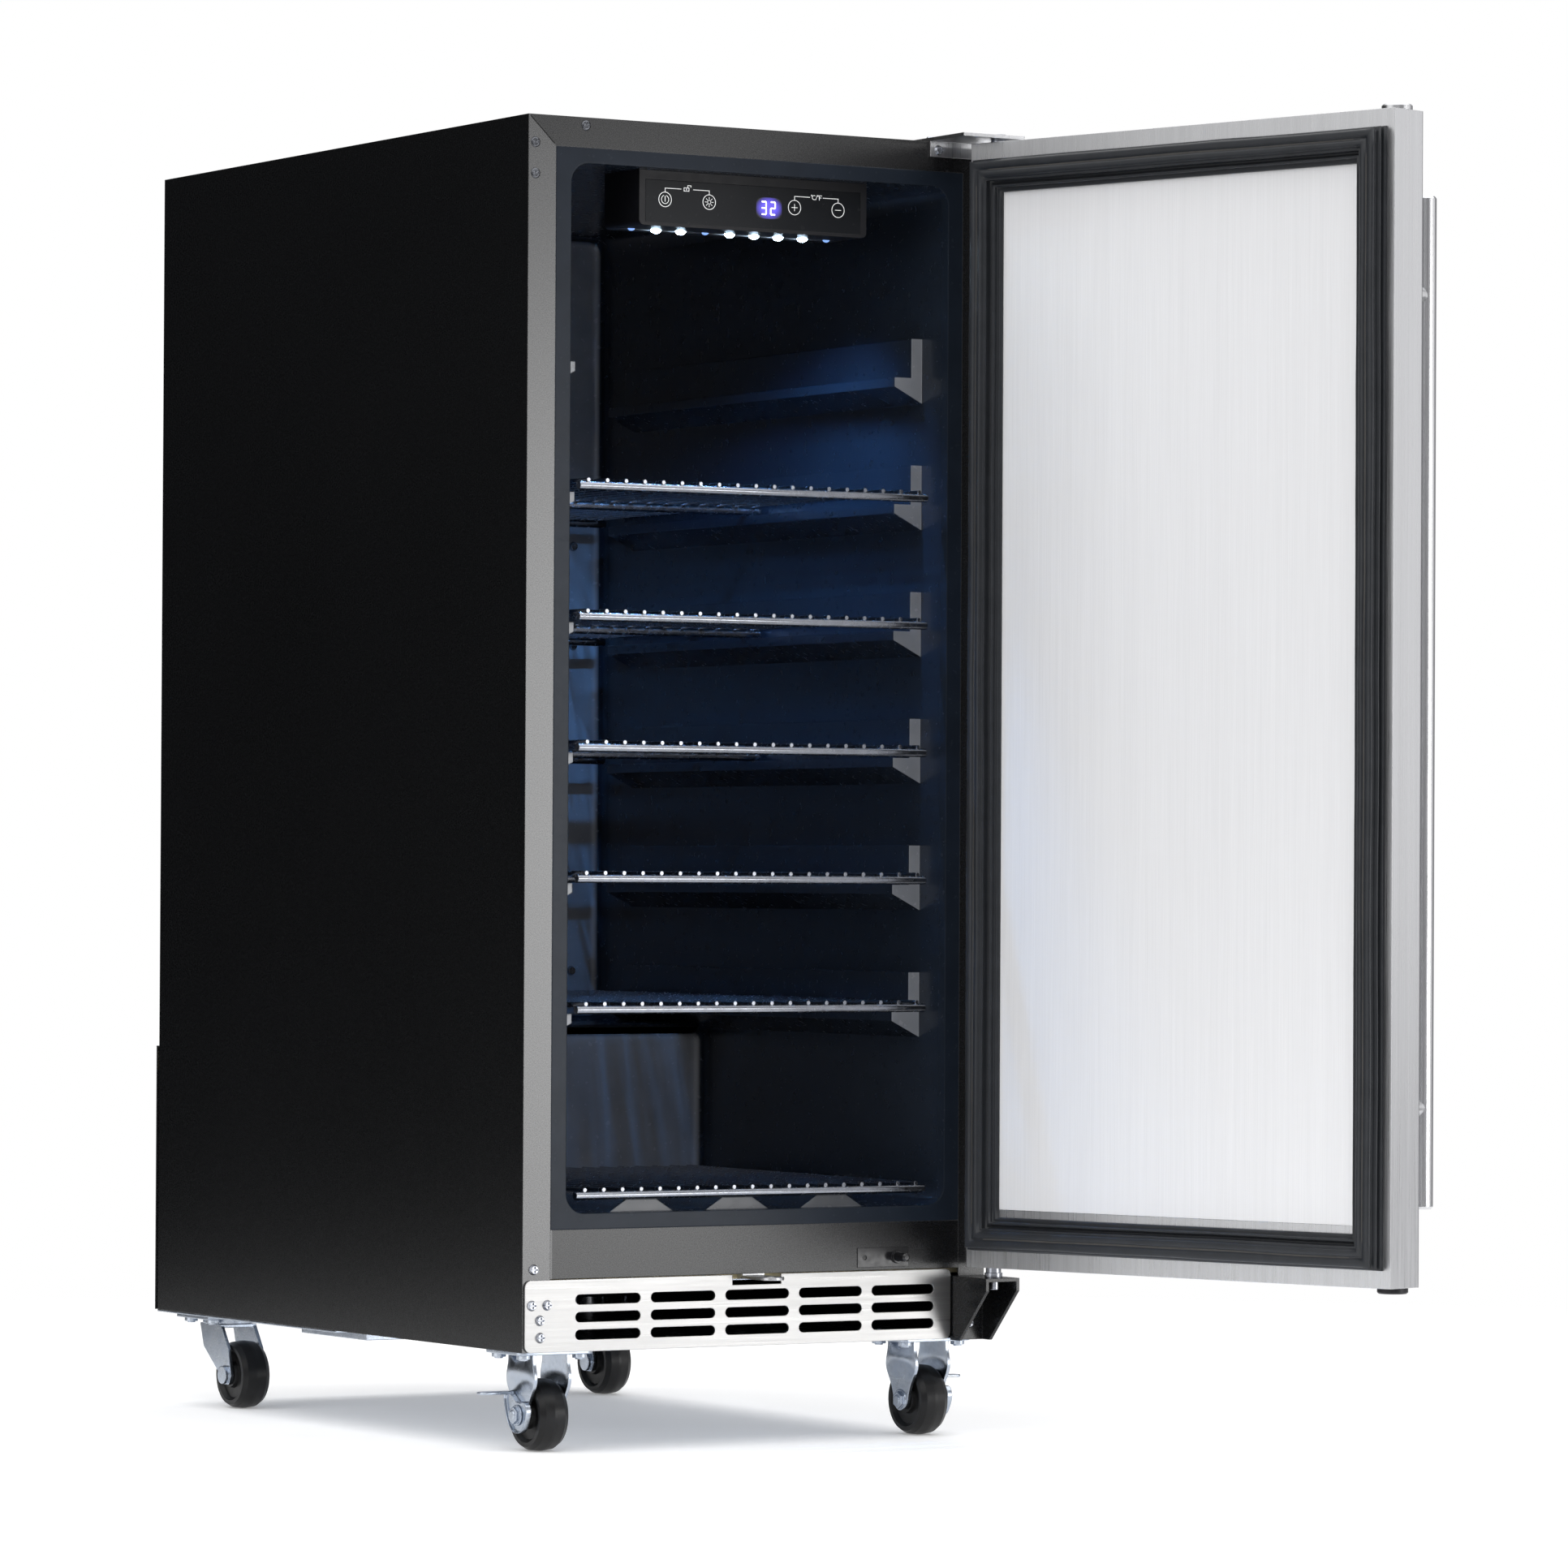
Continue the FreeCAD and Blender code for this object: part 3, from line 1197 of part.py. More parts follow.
def front_casters():
    """Rigid casters at the front, each with a side brake."""
    top = base - fork_plate
    axle = wheel_radius
    forks, axles = [], []
    leg_face = wheel_width / 2 + fork_gap + fork_plate
    for name, middle, sign in caster_centres():
        plate = box(middle - plate_length / 2, middle + plate_length / 2,
                    caster_front - plate_depth / 2, caster_front + plate_depth / 2, top, base)
        legs = caster_legs("fork_leg", middle, caster_front, top, axle, dim(0))
        hole = rod("X", caster_front, axle, axle_radius, middle - 30, middle + 30)
        bolts = [rod("Z", a, b, bolt_radius, top - 1, base + 1)
                 for a, b in bolt_places(middle, caster_front)]
        forks.append(cut(fuse(plate, *legs), hole, *bolts))
        brake_face = leg_face + rest_gap + pedal_thick + rest_gap
        outer = ordered(middle + brake_face * sign, middle + (brake_face + brake_nut) * sign)
        inner = ordered(middle - leg_face * sign, middle - (leg_face + nut_height) * sign)
        low, high = ordered(middle + (brake_face + brake_nut) * sign, middle - (leg_face + nut_height) * sign)
        shaft = rod("X", caster_front, axle, axle_radius, low, high)
        nuts = [rod("X", caster_front, axle, axle_radius + nut_rim, *ends) for ends in (outer, inner)]
        axles.append(fuse(shaft, *nuts))
        wheel(f"front_wheel_{name}", middle, caster_front)
        brake(f"brake_pedal_{name}", middle, sign, leg_face + rest_gap)
    node("front_caster_forks", group(*forks, *axles))


def brake(name, middle, sign, clear):
    """The brake's side plate on the axle with the pedal that the foot presses."""
    axle = wheel_radius
    near = middle + clear * sign
    far = near + pedal_thick * sign
    low, high = ordered(near, far)
    y = caster_front
    points = [(y - 15, axle + 9), (y - 17, axle + 1), (y - 9, axle - 12), (y + 3, axle - 13),
              (y + 12, axle - 4), (y + 18, axle + 14), (y + 6, axle + 16), (y - 2, axle + 9)]
    body = new_body(name)
    add(body, "YZ", low, high, ("polygon", points))
    pedal_low, pedal_high = axle + pedal_rise, axle + pedal_rise + pedal_thick
    end = far + (pedal_reach - pedal_width / 2) * sign
    back = y + pedal_end
    tread = fuse(
        box(*ordered(near, end), back - pedal_width, back, pedal_low, pedal_high),
        rod("Z", end, back - pedal_width / 2, pedal_width / 2, pedal_low, pedal_high),
    )
    clear_leg = box(*ordered(near, near - 40 * sign), y - 60, y + 60, 0, axle + 60)
    bore = rod("X", y, axle, axle_radius + running, low - 5, high + 5)
    node(name, cut(fuse(body, tread), bore, clear_leg))


def rear_casters():
    """Swivel casters at the back: fixed plates with their races, and turning forks."""
    tray = base - sheet_steel * 1.5
    plate_low = tray - fork_plate
    race_low = plate_low - race_height
    crown = race_low - 0.3
    axle = wheel_radius
    plates = []
    for name, middle, _ in caster_centres():
        y = swivel_y()
        plate = box(middle - plate_length / 2, middle + plate_length / 2,
                    y - plate_depth / 2, y + plate_depth / 2, plate_low, tray)
        race = rod("Z", middle, y, race_radius, race_low, plate_low)
        bolts = [rod("Z", a, b, bolt_radius, plate_low - 1, tray + 1) for a, b in bolt_places(middle, y)]
        bore = rod("Z", middle, y, axle_radius + running, race_low - 1, tray + 1)
        plates.append(cut(fuse(plate, race), bore, *bolts))
        legs = caster_legs("swivel_leg", middle, y, crown - fork_plate / 2, axle, -swivel_trail)
        reach = wheel_width / 2 + fork_gap + fork_plate
        top = box(middle - reach, middle + reach, y - 17, y + 17, crown - fork_plate, crown)
        kingpin = rod("Z", middle, y, axle_radius, crown - fork_plate, tray - 0.5)
        shaft = rod("X", y - swivel_trail, axle, axle_radius, middle - reach, middle + reach)
        trail_y = y - swivel_trail
        nuts = [rod("X", trail_y, axle, axle_radius + nut_rim, middle + reach, middle + reach + nut_height),
                rod("X", trail_y, axle, axle_radius + nut_rim, middle - reach - nut_height, middle - reach)]
        hole = rod("X", trail_y, axle, axle_radius, middle - reach - 1, middle + reach + 1)
        hub = cut(fuse(top, kingpin, *legs), hole)
        node(f"rear_fork_{name}", group(hub, fuse(shaft, *nuts)))
        wheel(f"rear_wheel_{name}", middle, y - swivel_trail)
    node("rear_caster_plates", group(*plates))


def caster_bolts():
    """The bolts that hold the four caster plates."""
    rows = ((caster_front, base - fork_plate), (swivel_y(), base - sheet_steel * 1.5 - fork_plate))
    bolts = []
    for _, middle, _ in caster_centres():
        for centre_y, seat in rows:
            for a, b in bolt_places(middle, centre_y):
                shank = rod("Z", a, b, bolt_radius, seat - bolt_head - 1, base + 5)
                head = rod("Z", a, b, bolt_radius + 2, seat - bolt_head, seat)
                bolts.append(fuse(shank, head))
    node("caster_bolts", group(*bolts))


# ---------------------------------------------------------------- machine bay

def bay_middle():
    """The middle of the machine bay from front to back."""
    return (bay_front + sheet_steel + cab_depth) / 2


def compressor():
    """The sealed compressor on its foot plate, with rubber grommets and a terminal cover."""
    x, y = side_right - 95, bay_middle()
    foot = base + 10
    half = shell_height / 2
    profile = [
        (dim(0), dim(0)), (shell_radius * 0.62, dim(0)), (shell_radius * 0.9, shell_height * 0.1),
        (shell_radius, shell_height * 0.28), (shell_radius, half), (shell_radius * 1.03, half),
        (shell_radius * 1.03, half + 3), (shell_radius, half + 3),
        (shell_radius, shell_height * 0.72), (shell_radius * 0.86, shell_height * 0.9),
        (shell_radius * 0.5, shell_height), (dim(0), shell_height),
    ]
    shell = turned("compressor", "Z", x, y, foot + 3, profile)
    reach = shell_radius + 8
    plate = box(x - reach, x + reach, y - reach, y + reach, foot, foot + 3)
    spots = [(x + (reach - 9) * i, y + (reach - 9) * j) for i in (-1, 1) for j in (-1, 1)]
    holes = [rod("Z", a, b, dim(5.0), foot - 1, foot + 4) for a, b in spots]
    node("compressor", fuse(cut(plate, *holes), shell))
    grommets = [
        fuse(rod("Z", a, b, dim(8.0), base, foot), rod("Z", a, b, dim(5.0), foot, foot + 5))
        for a, b in spots
    ]
    node("compressor_grommets", group(*grommets))
    cover = box(x - shell_radius - 26, x - shell_radius * 0.7, y - 24, y + 24, foot + 25, foot + 78)
    bite = rod("Z", x, y, shell_radius * 1.03 + 0.2, foot + 10, foot + 100)
    gland_x, gland_z = side_right - 40, base + 22
    node("terminal_cover", cut(cover, bite))
    back = cab_depth + rear_cover_bulge
    gland = fuse(
        rod("Y", gland_x, gland_z, gland_radius, back, back + 2.5),
        rod("Y", gland_x, gland_z, gland_radius - 2.5, back - 12, back),
    )
    node("cord_gland", cut(gland, rod("Y", gland_x, gland_z, dim(3.6), back - 13, back + 4)))
    pan_low = foot + 3 + shell_height + 0.3
    pan = cut(
        box(x - 60, x + 60, y - 42, y + 42, pan_low, pan_low + 13),
        box(x - 58, x + 58, y - 40, y + 40, pan_low + 1.6, pan_low + 14),
    )
    node("drip_tray", pan)


def fan():
    """The condenser fan: a square frame with its motor, and the blades on their shaft."""
    x0 = side_left + 150
    x1 = x0 + fan_depth
    y, z = bay_middle(), base + fan_side / 2 + 0.3
    half = fan_side / 2
    frame = cut(
        box(x0, x1, y - half, y + half, z - half, z + half),
        rod("X", y, z, fan_bore, x0 - 1, x1 + 1),
    )
    hub = rod("X", y, z, fan_hub, x0, x0 + 8)
    struts = [
        box(x0, x0 + 4, y - fan_bore - 1, y + fan_bore + 1, z - 3, z + 3),
        box(x0, x0 + 4, y - 3, y + 3, z - fan_bore - 1, z + fan_bore + 1),
    ]
    shaft_room = rod("X", y, z, fan_shaft + running, x0 - 1, x0 + 9)
    node("fan_frame", cut(fuse(frame, hub, *struts), shaft_room))
    body = new_body("fan_blade")
    depth = x1 - x0
    add(body, "YZ", dim(9.0), depth - 1, ("circle", (dim(0), dim(0)), fan_hub))
    root = fan_hub - 2
    tip = fan_bore - fan_tip
    blade = [(root, dim(-9.0)), (tip * 0.94, dim(-17.0)), (tip * 0.985, dim(5.0)), (root, dim(6.0))]
    paddle = add(body, "YZ", dim(14.0), dim(16.0), ("polygon", blade))
    spin = body.newObject("PartDesign::PolarPattern", "Blades")
    spin.Originals = [paddle]
    spin.Axis = (paddle.Profile[0], ["N_Axis"])
    spin.Angle = 360
    bind(spin, {"Occurrences": fan_blades})
    body.Tip = spin
    doc.recompute()
    bind(body, {"Placement.Base.x": x0, "Placement.Base.y": y, "Placement.Base.z": z})
    shaft = rod("X", y, z, fan_shaft, x0 + 1, x0 + 10)
    node("fan_blade", fuse(body, shaft))


def condenser():
    """The finned condenser beside the fan: tubes through every fin, between two end plates."""
    x0 = side_left + 60
    x1 = x0 + 50
    y, z = bay_middle(), base + fan_side / 2 + 2
    half = fan_side / 2 - 6
    low = z - half
    pitch = (half * 2 - 1) / (fin_count - 1)
    fins = [box(x0, x1, y - half, y + half, low + pitch * i, low + pitch * i + 0.8)
            for i in range(int(float(fin_count)))]
    plates = [box(x0, x1, y - half - 1.2, y - half, base, z + half),
              box(x0, x1, y + half, y + half + 1.2, base, z + half)]
    rows = 5
    spread = (half * 2 - 24) / (rows - 1)
    tubes = [rod("Z", (x0 + x1) / 2, y - half + 12 + spread * i, pipe_radius, low - 4, z + half + 6)
             for i in range(rows)]
    node("condenser_coil", fuse(*fins, *plates, *tubes))


def pipe_paths():
    """The routes of the suction line, the discharge line and the liquid line."""
    v = FreeCAD.Vector
    x, y = float(side_right - 95), float(bay_middle())
    shell_side = float(shell_radius)
    top = float(bay_roof)
    back = float(bay_end)
    mid = float(base) + 13 + float(shell_height) / 2
    return {
        "suction": [v(x + shell_side - 3, y + 12, mid - 12), v(x + shell_side + 16, y + 12, mid - 12),
                    v(x + shell_side + 16, y + 12, top - 16), v(x + shell_side + 16, back - 14, top - 16),
                    v(x + shell_side + 16, back - 14, top + 60)],
        "discharge": [v(x - 6, y - shell_side + 3, mid - 20), v(x - 6, y - shell_side - 14, mid - 20),
                      v(x - 90, y - shell_side - 14, mid - 20), v(x - 90, y - shell_side - 14, top - 14),
                      v(float(side_left) + 40, y - shell_side - 14, top - 14)],
    }


def pipe_channel():
    """The way that the suction line takes up through the panel and the foam."""
    end = pipe_paths()["suction"][-1]
    return rod("Z", end.x, end.y, pipe_radius, bay_roof - 2, end.z)


def pipes():
    """The copper lines, with the filter drier at the end of the discharge line."""
    radius = float(pipe_radius)
    paths = pipe_paths()
    suction, discharge = [
        feature(polyline_tube(paths[name], radius, radius * 2.5)) for name in ("suction", "discharge")
    ]
    end = paths["discharge"][-1]
    drier = fuse(
        rod("X", end.y, end.z, dim(9.0), side_left + 12, side_left + 40),
        cone("X", end.y, end.z, dim(3.2), dim(9.0), side_left + 4, side_left + 12),
        cone("X", end.y, end.z, dim(9.0), dim(3.2), side_left + 40, side_left + 48),
    )
    node("refrigerant_pipes", group(suction, fuse(discharge, drier)))


# ---------------------------------------------------------------- screws

def screws():
    """The visible screws, bright ones and black ones."""
    bright = [screw("Y", a, b, -kick_thick, -1, screw_length) for a, b in kick_screws]
    bright.append(screw("Y", *rail_screw, dim(0), -1, screw_length))
    bright.append(screw("Y", *apron_screw, -hinge_plate, -1, screw_length))
    bright.append(screw("Y", *foot_screw, -hinge_plate, -1, screw_length))
    bright += [screw("Z", a, b, roof + hinge_plate, 1, screw_length) for a, b in roof_screws]
    bright += [screw("Y", a, b, cavity_depth, -1, screw_length) for a, b in back_screws]
    node("steel_screws", group(*bright))
    black = [screw("Y", a, b, dim(0), -1, screw_length, flat_head) for a, b in frame_screw_places]
    node("frame_screws", group(*black))


# ---------------------------------------------------------------- assembly

def assemble():
    """Makes every sub-part."""
    cabinet_wrap()
    front_rail()
    rear_panel()
    rear_cover()
    machine_bay_panel()
    bottom_panels()
    insulation_foam()
    inner_liner()
    evaporator_plate()
    shelves()
    kick_plate()
    lock_tab()
    door_switch()
    controls()
    hinges()
    door()
    front_casters()
    rear_casters()
    caster_bolts()
    compressor()
    fan()
    condenser()
    pipes()
    screws()
    doc.recompute()


def open_and_centre():
    """Turns the door open about its hinge and puts the origin under the whole unit."""
    axis = FreeCAD.Vector(0, 0, 1)
    hinge = FreeCAD.Vector(float(hinge_x), float(hinge_y), 0)
    swing = FreeCAD.Placement(FreeCAD.Vector(), FreeCAD.Rotation(axis, float(door_open)), hinge)
    for name in door_nodes:
        nodes[name].Placement = swing * nodes[name].Placement
    bounds = FreeCAD.BoundBox()
    for item in nodes.values():
        bounds.add(item.Shape.optimalBoundingBox(False))
    shift = FreeCAD.Vector(-bounds.Center.x, -bounds.Center.y, -bounds.ZMin)
    for item in nodes.values():
        item.Placement = FreeCAD.Placement(shift, FreeCAD.Rotation()) * item.Placement
    print("shift", [round(value, 4) for value in shift])
    print("size", [round(value, 2) for value in (bounds.XLength, bounds.YLength, bounds.ZLength)])
    return shift


def check_all():
    """Stops at any object that failed and any sub-part without a sound shape."""
    for item in doc.Objects:
        if "Invalid" in item.State or "Error" in item.State:
            raise RuntimeError(f"{item.Name} ({item.Label}) is {item.State}")
    for name, item in nodes.items():
        shape = item.Shape
        if shape.isNull() or not shape.isValid() or not shape.Solids:
            raise RuntimeError(f"{name} has no sound shape")


def export_all():
    """Writes one file per sub-part."""
    os.makedirs("parts", exist_ok=True)
    for name, item in nodes.items():
        item.Shape.exportStep(f"parts/{name}.step")
    print(len(nodes), "nodes,", sum(len(item.Shape.Solids) for item in nodes.values()), "solids")


assemble()
check_all()
open_and_centre()
export_all()
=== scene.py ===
import json
import math
import bmesh
import bpy
import numpy as np
from mathutils import Matrix, Vector, noise

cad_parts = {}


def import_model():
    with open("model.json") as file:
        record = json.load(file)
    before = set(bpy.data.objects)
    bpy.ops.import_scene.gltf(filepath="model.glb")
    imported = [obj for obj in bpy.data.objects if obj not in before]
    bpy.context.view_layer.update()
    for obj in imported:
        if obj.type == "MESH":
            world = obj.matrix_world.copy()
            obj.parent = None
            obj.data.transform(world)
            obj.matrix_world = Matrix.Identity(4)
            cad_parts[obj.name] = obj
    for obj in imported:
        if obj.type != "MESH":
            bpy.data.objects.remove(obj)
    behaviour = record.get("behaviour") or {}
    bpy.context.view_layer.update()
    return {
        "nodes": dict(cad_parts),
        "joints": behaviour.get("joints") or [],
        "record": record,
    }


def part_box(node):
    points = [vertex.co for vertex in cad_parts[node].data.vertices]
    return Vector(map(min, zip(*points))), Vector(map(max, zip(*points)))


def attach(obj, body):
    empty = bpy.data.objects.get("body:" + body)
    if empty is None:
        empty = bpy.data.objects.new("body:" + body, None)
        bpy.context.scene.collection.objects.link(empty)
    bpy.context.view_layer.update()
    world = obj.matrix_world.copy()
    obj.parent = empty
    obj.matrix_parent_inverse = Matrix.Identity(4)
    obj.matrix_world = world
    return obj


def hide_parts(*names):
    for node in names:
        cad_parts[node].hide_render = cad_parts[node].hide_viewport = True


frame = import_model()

MM = 0.001
nodes = frame["nodes"]
joints = {joint["name"]: joint for joint in frame["joints"]}


# ---------------------------------------------------------------- camera

# solved from the photograph: metres, radians and millimetres
CAMERA_PLACE = Vector((-2.6243, -4.3030, 0.3937))
YAW, PITCH, ROLL = 0.54923, 0.01368, 0.005084
LENS, SENSOR = 162.28, 36.0


def make_camera():
    """The camera that took the photograph, turned by yaw, then pitch, then roll."""
    forward = Vector((math.sin(YAW) * math.cos(PITCH), math.cos(YAW) * math.cos(PITCH), math.sin(PITCH)))
    level = Vector((math.cos(YAW), -math.sin(YAW), 0))
    above = level.cross(forward)
    right = level * math.cos(ROLL) + above * math.sin(ROLL)
    up = above * math.cos(ROLL) - level * math.sin(ROLL)
    data = bpy.data.cameras.new("camera")
    data.lens, data.sensor_width = LENS, SENSOR
    camera = bpy.data.objects.new("camera", data)
    axes = Matrix((right, up, -forward)).transposed().to_4x4()
    camera.matrix_world = Matrix.Translation(CAMERA_PLACE) @ axes
    bpy.context.scene.collection.objects.link(camera)
    bpy.context.scene.camera = camera


# ---------------------------------------------------------------- materials

class Look:
    """A node material with one Principled shader and helpers for its procedural detail."""

    def __init__(self, name, edge=0.0006, **constants):
        self.material = bpy.data.materials.new(name)
        self.material.use_nodes = True
        self.tree = self.material.node_tree
        self.shader = self.tree.nodes["Principled BSDF"]
        self.coordinates = self.tree.nodes.new("ShaderNodeTexCoord")
        self.place = self.coordinates.outputs["Object"]
        self.normal = self.soft_edges(edge) if edge else None
        for socket, value in constants.items():
            self.shader.inputs[socket.replace("_", " ")].default_value = value

    def new(self, kind, **settings):
        node = self.tree.nodes.new(kind)
        for key, value in settings.items():
            setattr(node, key, value)
        return node

    def link(self, out, into):
        self.tree.links.new(out, into)

    def soft_edges(self, radius):
        """Normals that round the edges off by this radius in metres."""
        node = self.new("ShaderNodeBevel", samples=6)
        node.inputs["Radius"].default_value = radius
        self.link(node.outputs["Normal"], self.shader.inputs["Normal"])
        return node.outputs["Normal"]

    def stretched(self, scale):
        """Object coordinates, scaled along each axis."""
        mapping = self.new("ShaderNodeMapping")
        mapping.inputs["Scale"].default_value = scale
        self.link(self.place, mapping.inputs["Vector"])
        return mapping.outputs["Vector"]

    def noise(self, scale, stretch=(1, 1, 1), detail=3.0, rough=0.5):
        texture = self.new("ShaderNodeTexNoise")
        texture.inputs["Scale"].default_value = scale
        texture.inputs["Detail"].default_value = detail
        texture.inputs["Roughness"].default_value = rough
        self.link(self.stretched(stretch), texture.inputs["Vector"])
        return texture.outputs["Fac"]

    def cells(self, scale):
        texture = self.new("ShaderNodeTexVoronoi")
        texture.inputs["Scale"].default_value = scale
        self.link(self.place, texture.inputs["Vector"])
        return texture.outputs["Distance"]

    def axis(self, output, axis):
        """One axis of a texture coordinate."""
        parts = self.new("ShaderNodeSeparateXYZ")
        self.link(self.coordinates.outputs[output], parts.inputs[0])
        return parts.outputs[axis]

    def math(self, operation, one, other):
        node = self.new("ShaderNodeMath", operation=operation)
        self.link(one, node.inputs[0])
        self.link(other, node.inputs[1])
        return node.outputs[0]

    def span(self, value, low, high, start=0.3, end=0.7):
        """The value's range start to end, spread to low to high."""
        node = self.new("ShaderNodeMapRange")
        for socket, number in (("From Min", start), ("From Max", end), ("To Min", low), ("To Max", high)):
            node.inputs[socket].default_value = number
        self.link(value, node.inputs["Value"])
        return node.outputs["Result"]

    def colours(self, value, *stops):
        """A ramp through (position, colour) stops."""
        ramp = self.new("ShaderNodeValToRGB")
        elements = ramp.color_ramp.elements
        while len(elements) < len(stops):
            elements.new(0.5)
        for element, (at, colour) in zip(elements, stops):
            element.position = at
            element.color = (*colour, 1)
        self.link(value, ramp.inputs["Fac"])
        return ramp.outputs["Color"]

    def paint(self, colour):
        self.link(colour, self.shader.inputs["Base Color"])

    def blend(self, share, one, other, mode="MIX"):
        """Two colours mixed by a share that is a number or a socket."""
        node = self.new("ShaderNodeMix", data_type="RGBA", blend_type=mode)
        if isinstance(share, float):
            node.inputs["Factor"].default_value = share
        else:
            self.link(share, node.inputs["Factor"])
        self.link(one, node.inputs["A"])
        self.link(other, node.inputs["B"])
        return node.outputs["Result"]

    def rough(self, value, low, high):
        """Roughness from low to high, following the value."""
        self.link(self.span(value, low, high), self.shader.inputs["Roughness"])

    def bump(self, height, depth):
        """Adds a bump of this depth in metres over the bumps before it."""
        node = self.new("ShaderNodeBump")
        node.inputs["Strength"].default_value = 1.0
        node.inputs["Distance"].default_value = depth
        self.link(height, node.inputs["Height"])
        if self.normal:
            self.link(self.normal, node.inputs["Normal"])
        self.normal = node.outputs["Normal"]
        self.link(self.normal, self.shader.inputs["Normal"])


def grey(level, tint=(1.0, 1.0, 1.0)):
    return tuple(level * share for share in tint)


COOL = (0.94, 0.98, 1.08)


def painted_sheet():
    """Black paint, glossier on the front faces and most of all on the left front flange."""
    look = Look("black_painted_sheet")
    across = look.axis("Object", "X")
    left = look.span(across, 1.0, 0.0, FLANGE_EDGE, FLANGE_EDGE + 0.001)
    diagonal = look.math("ADD", across, look.axis("Object", "Z"))
    below_mitre = look.span(diagonal, 1.0, 0.0, MITRE, MITRE + 0.001)
    facing = look.span(look.axis("Normal", "Y"), 0.0, 1.0, -0.75, -0.95)
    flange = look.math("MULTIPLY", look.math("MULTIPLY", left, below_mitre), facing)
    front = look.span(facing, 0.36, 0.58, 0.0, 1.0)
    level = look.math("ADD", front, look.span(flange, 0.0, 0.42, 0.0, 1.0))
    look.link(level, look.shader.inputs["Specular IOR Level"])
    look.link(look.span(flange, 0.0, 0.4, 0.0, 1.0), look.shader.inputs["Coat Weight"])
    look.shader.inputs["Coat Roughness"].default_value = 0.27
    cloud = look.noise(2.2, detail=3)
    look.paint(look.colours(cloud, (0.25, grey(0.0040, COOL)), (0.75, grey(0.0056, COOL))))
    look.rough(look.noise(1100, detail=2), 0.25, 0.29)
    look.bump(look.noise(2.6, (1, 1, 0.6), detail=0), 0.0016)
    look.bump(look.noise(1400, detail=2), 0.000004)
    return look


def brushed(name, along, level, metallic, low, high, grain=0.000004, tint=COOL, streaks=0.12, bands_low=0.88):
    """Brushed steel with its grain along one axis."""
    fine = tuple(12 if i == along else 1500 for i in range(3))
    broad = tuple(1.5 if i == along else 260 for i in range(3))
    look = Look(name, Metallic=metallic)
    lines = look.noise(1, fine, detail=4, rough=0.6)
    bands = look.noise(1, broad, detail=3)
    one = look.colours(lines, (0.3, grey(level * (1 - streaks), tint)), (0.7, grey(level, tint)))
    two = look.colours(bands, (0.35, grey(bands_low)), (0.65, grey(1.0)))
    look.paint(look.blend(0.5, one, two, "MULTIPLY"))
    look.rough(lines, low, high)
    look.bump(lines, grain)
    look.bump(look.noise(3, detail=1), 0.0004)
    return look


def metal(name, level, low, high, tint=COOL, pits=0.00001):
    """Plain or plated metal with fine pits, its roughness between low and high."""
    look = Look(name, Metallic=1.0)
    cloud = look.noise(140, detail=5, rough=0.6)
    look.paint(look.colours(cloud, (0.3, grey(level * 0.78, tint)), (0.7, grey(level, tint))))
    look.rough(look.noise(300, detail=4), low, high)
    look.bump(look.noise(1200, detail=3), pits)
    return look


def galvanised():
    """Bright zinc with faint flakes."""
    look = Look("bright_zinc", edge=0.0009, Metallic=1.0)
    flakes = look.cells(260)
    cloud = look.noise(90, detail=5)
    one = look.colours(flakes, (0.1, (0.43, 0.47, 0.53)), (0.6, (0.48, 0.52, 0.58)))
    two = look.colours(cloud, (0.35, (0.80, 0.84, 0.90)), (0.65, (1.0, 1.0, 1.0)))
    look.paint(look.blend(0.7, one, two, "MULTIPLY"))
    look.rough(cloud, 0.16, 0.30)
    look.bump(look.noise(700, detail=4), 0.00002)
    return look


def plastic(name, one, two, low, high, texture=0.00003, grit=1100, spec=0.5):
    """Plastic or paint clouded between two colours, with a fine texture this deep in metres."""
    look = Look(name, Specular_IOR_Level=spec)
    look.paint(look.colours(look.noise(40, detail=5), (0.3, one), (0.7, two)))
    look.rough(look.noise(200, detail=3), low, high)
    look.bump(look.noise(grit, detail=3), texture)
    return look


def liner():
    """Moulded plastic: dark at the front lip, with painted light on the ends of its ledges: their front faces
    are painted paler, a painted reflection of the bright door panel.
    """
    look = Look("liner_plastic_look", edge=0.0012)
    inside = look.span(look.axis("Object", "Y"), 0.0, 1.0, LIP_BACK, LIP_BACK + 0.012)
    # front-facing faces behind the lip, which get the painted reflection
    ends = look.math("MULTIPLY", inside, look.span(look.axis("Normal", "Y"), 0.0, 1.0, -0.75, -0.95))
    cloud = look.noise(40, detail=5)
    body = look.colours(cloud, (0.3, (0.010, 0.014, 0.021)), (0.7, (0.013, 0.018, 0.027)))
    # painted reflection: this paler colour on the ledge ends stands in for the light they catch from the door
    # panel
    pale = look.colours(cloud, (0.3, (0.20, 0.21, 0.23)), (0.7, (0.25, 0.26, 0.28)))
    look.paint(look.blend(ends, body, pale))
    look.link(look.span(inside, 0.14, 0.7, 0.0, 1.0), look.shader.inputs["Specular IOR Level"])
    look.rough(look.noise(200, detail=3), 0.22, 0.28)
    look.bump(look.noise(1100, detail=3), 0.000006)
    return look


def rubber(name, one, two, low=0.42, high=0.6, dust=(0.09, 0.09, 0.095)):
    """Rubber clouded between two colours, with specks of dust."""
    look = Look(name, edge=0.0004, Specular_IOR_Level=0.28, Sheen_Weight=0.02, Sheen_Roughness=0.6)
    base = look.colours(look.noise(70, detail=4), (0.3, one), (0.7, two))
    specks = look.span(look.noise(380, detail=6, rough=0.7), 0.0, 0.25, 0.55, 0.75)
    dusty = look.colours(specks, (0.0, dust), (1.0, dust))
    look.paint(look.blend(specks, base, dusty))
    look.rough(look.noise(160, detail=4), low, high)
    look.bump(look.noise(900, detail=4), 0.00003)
    return look


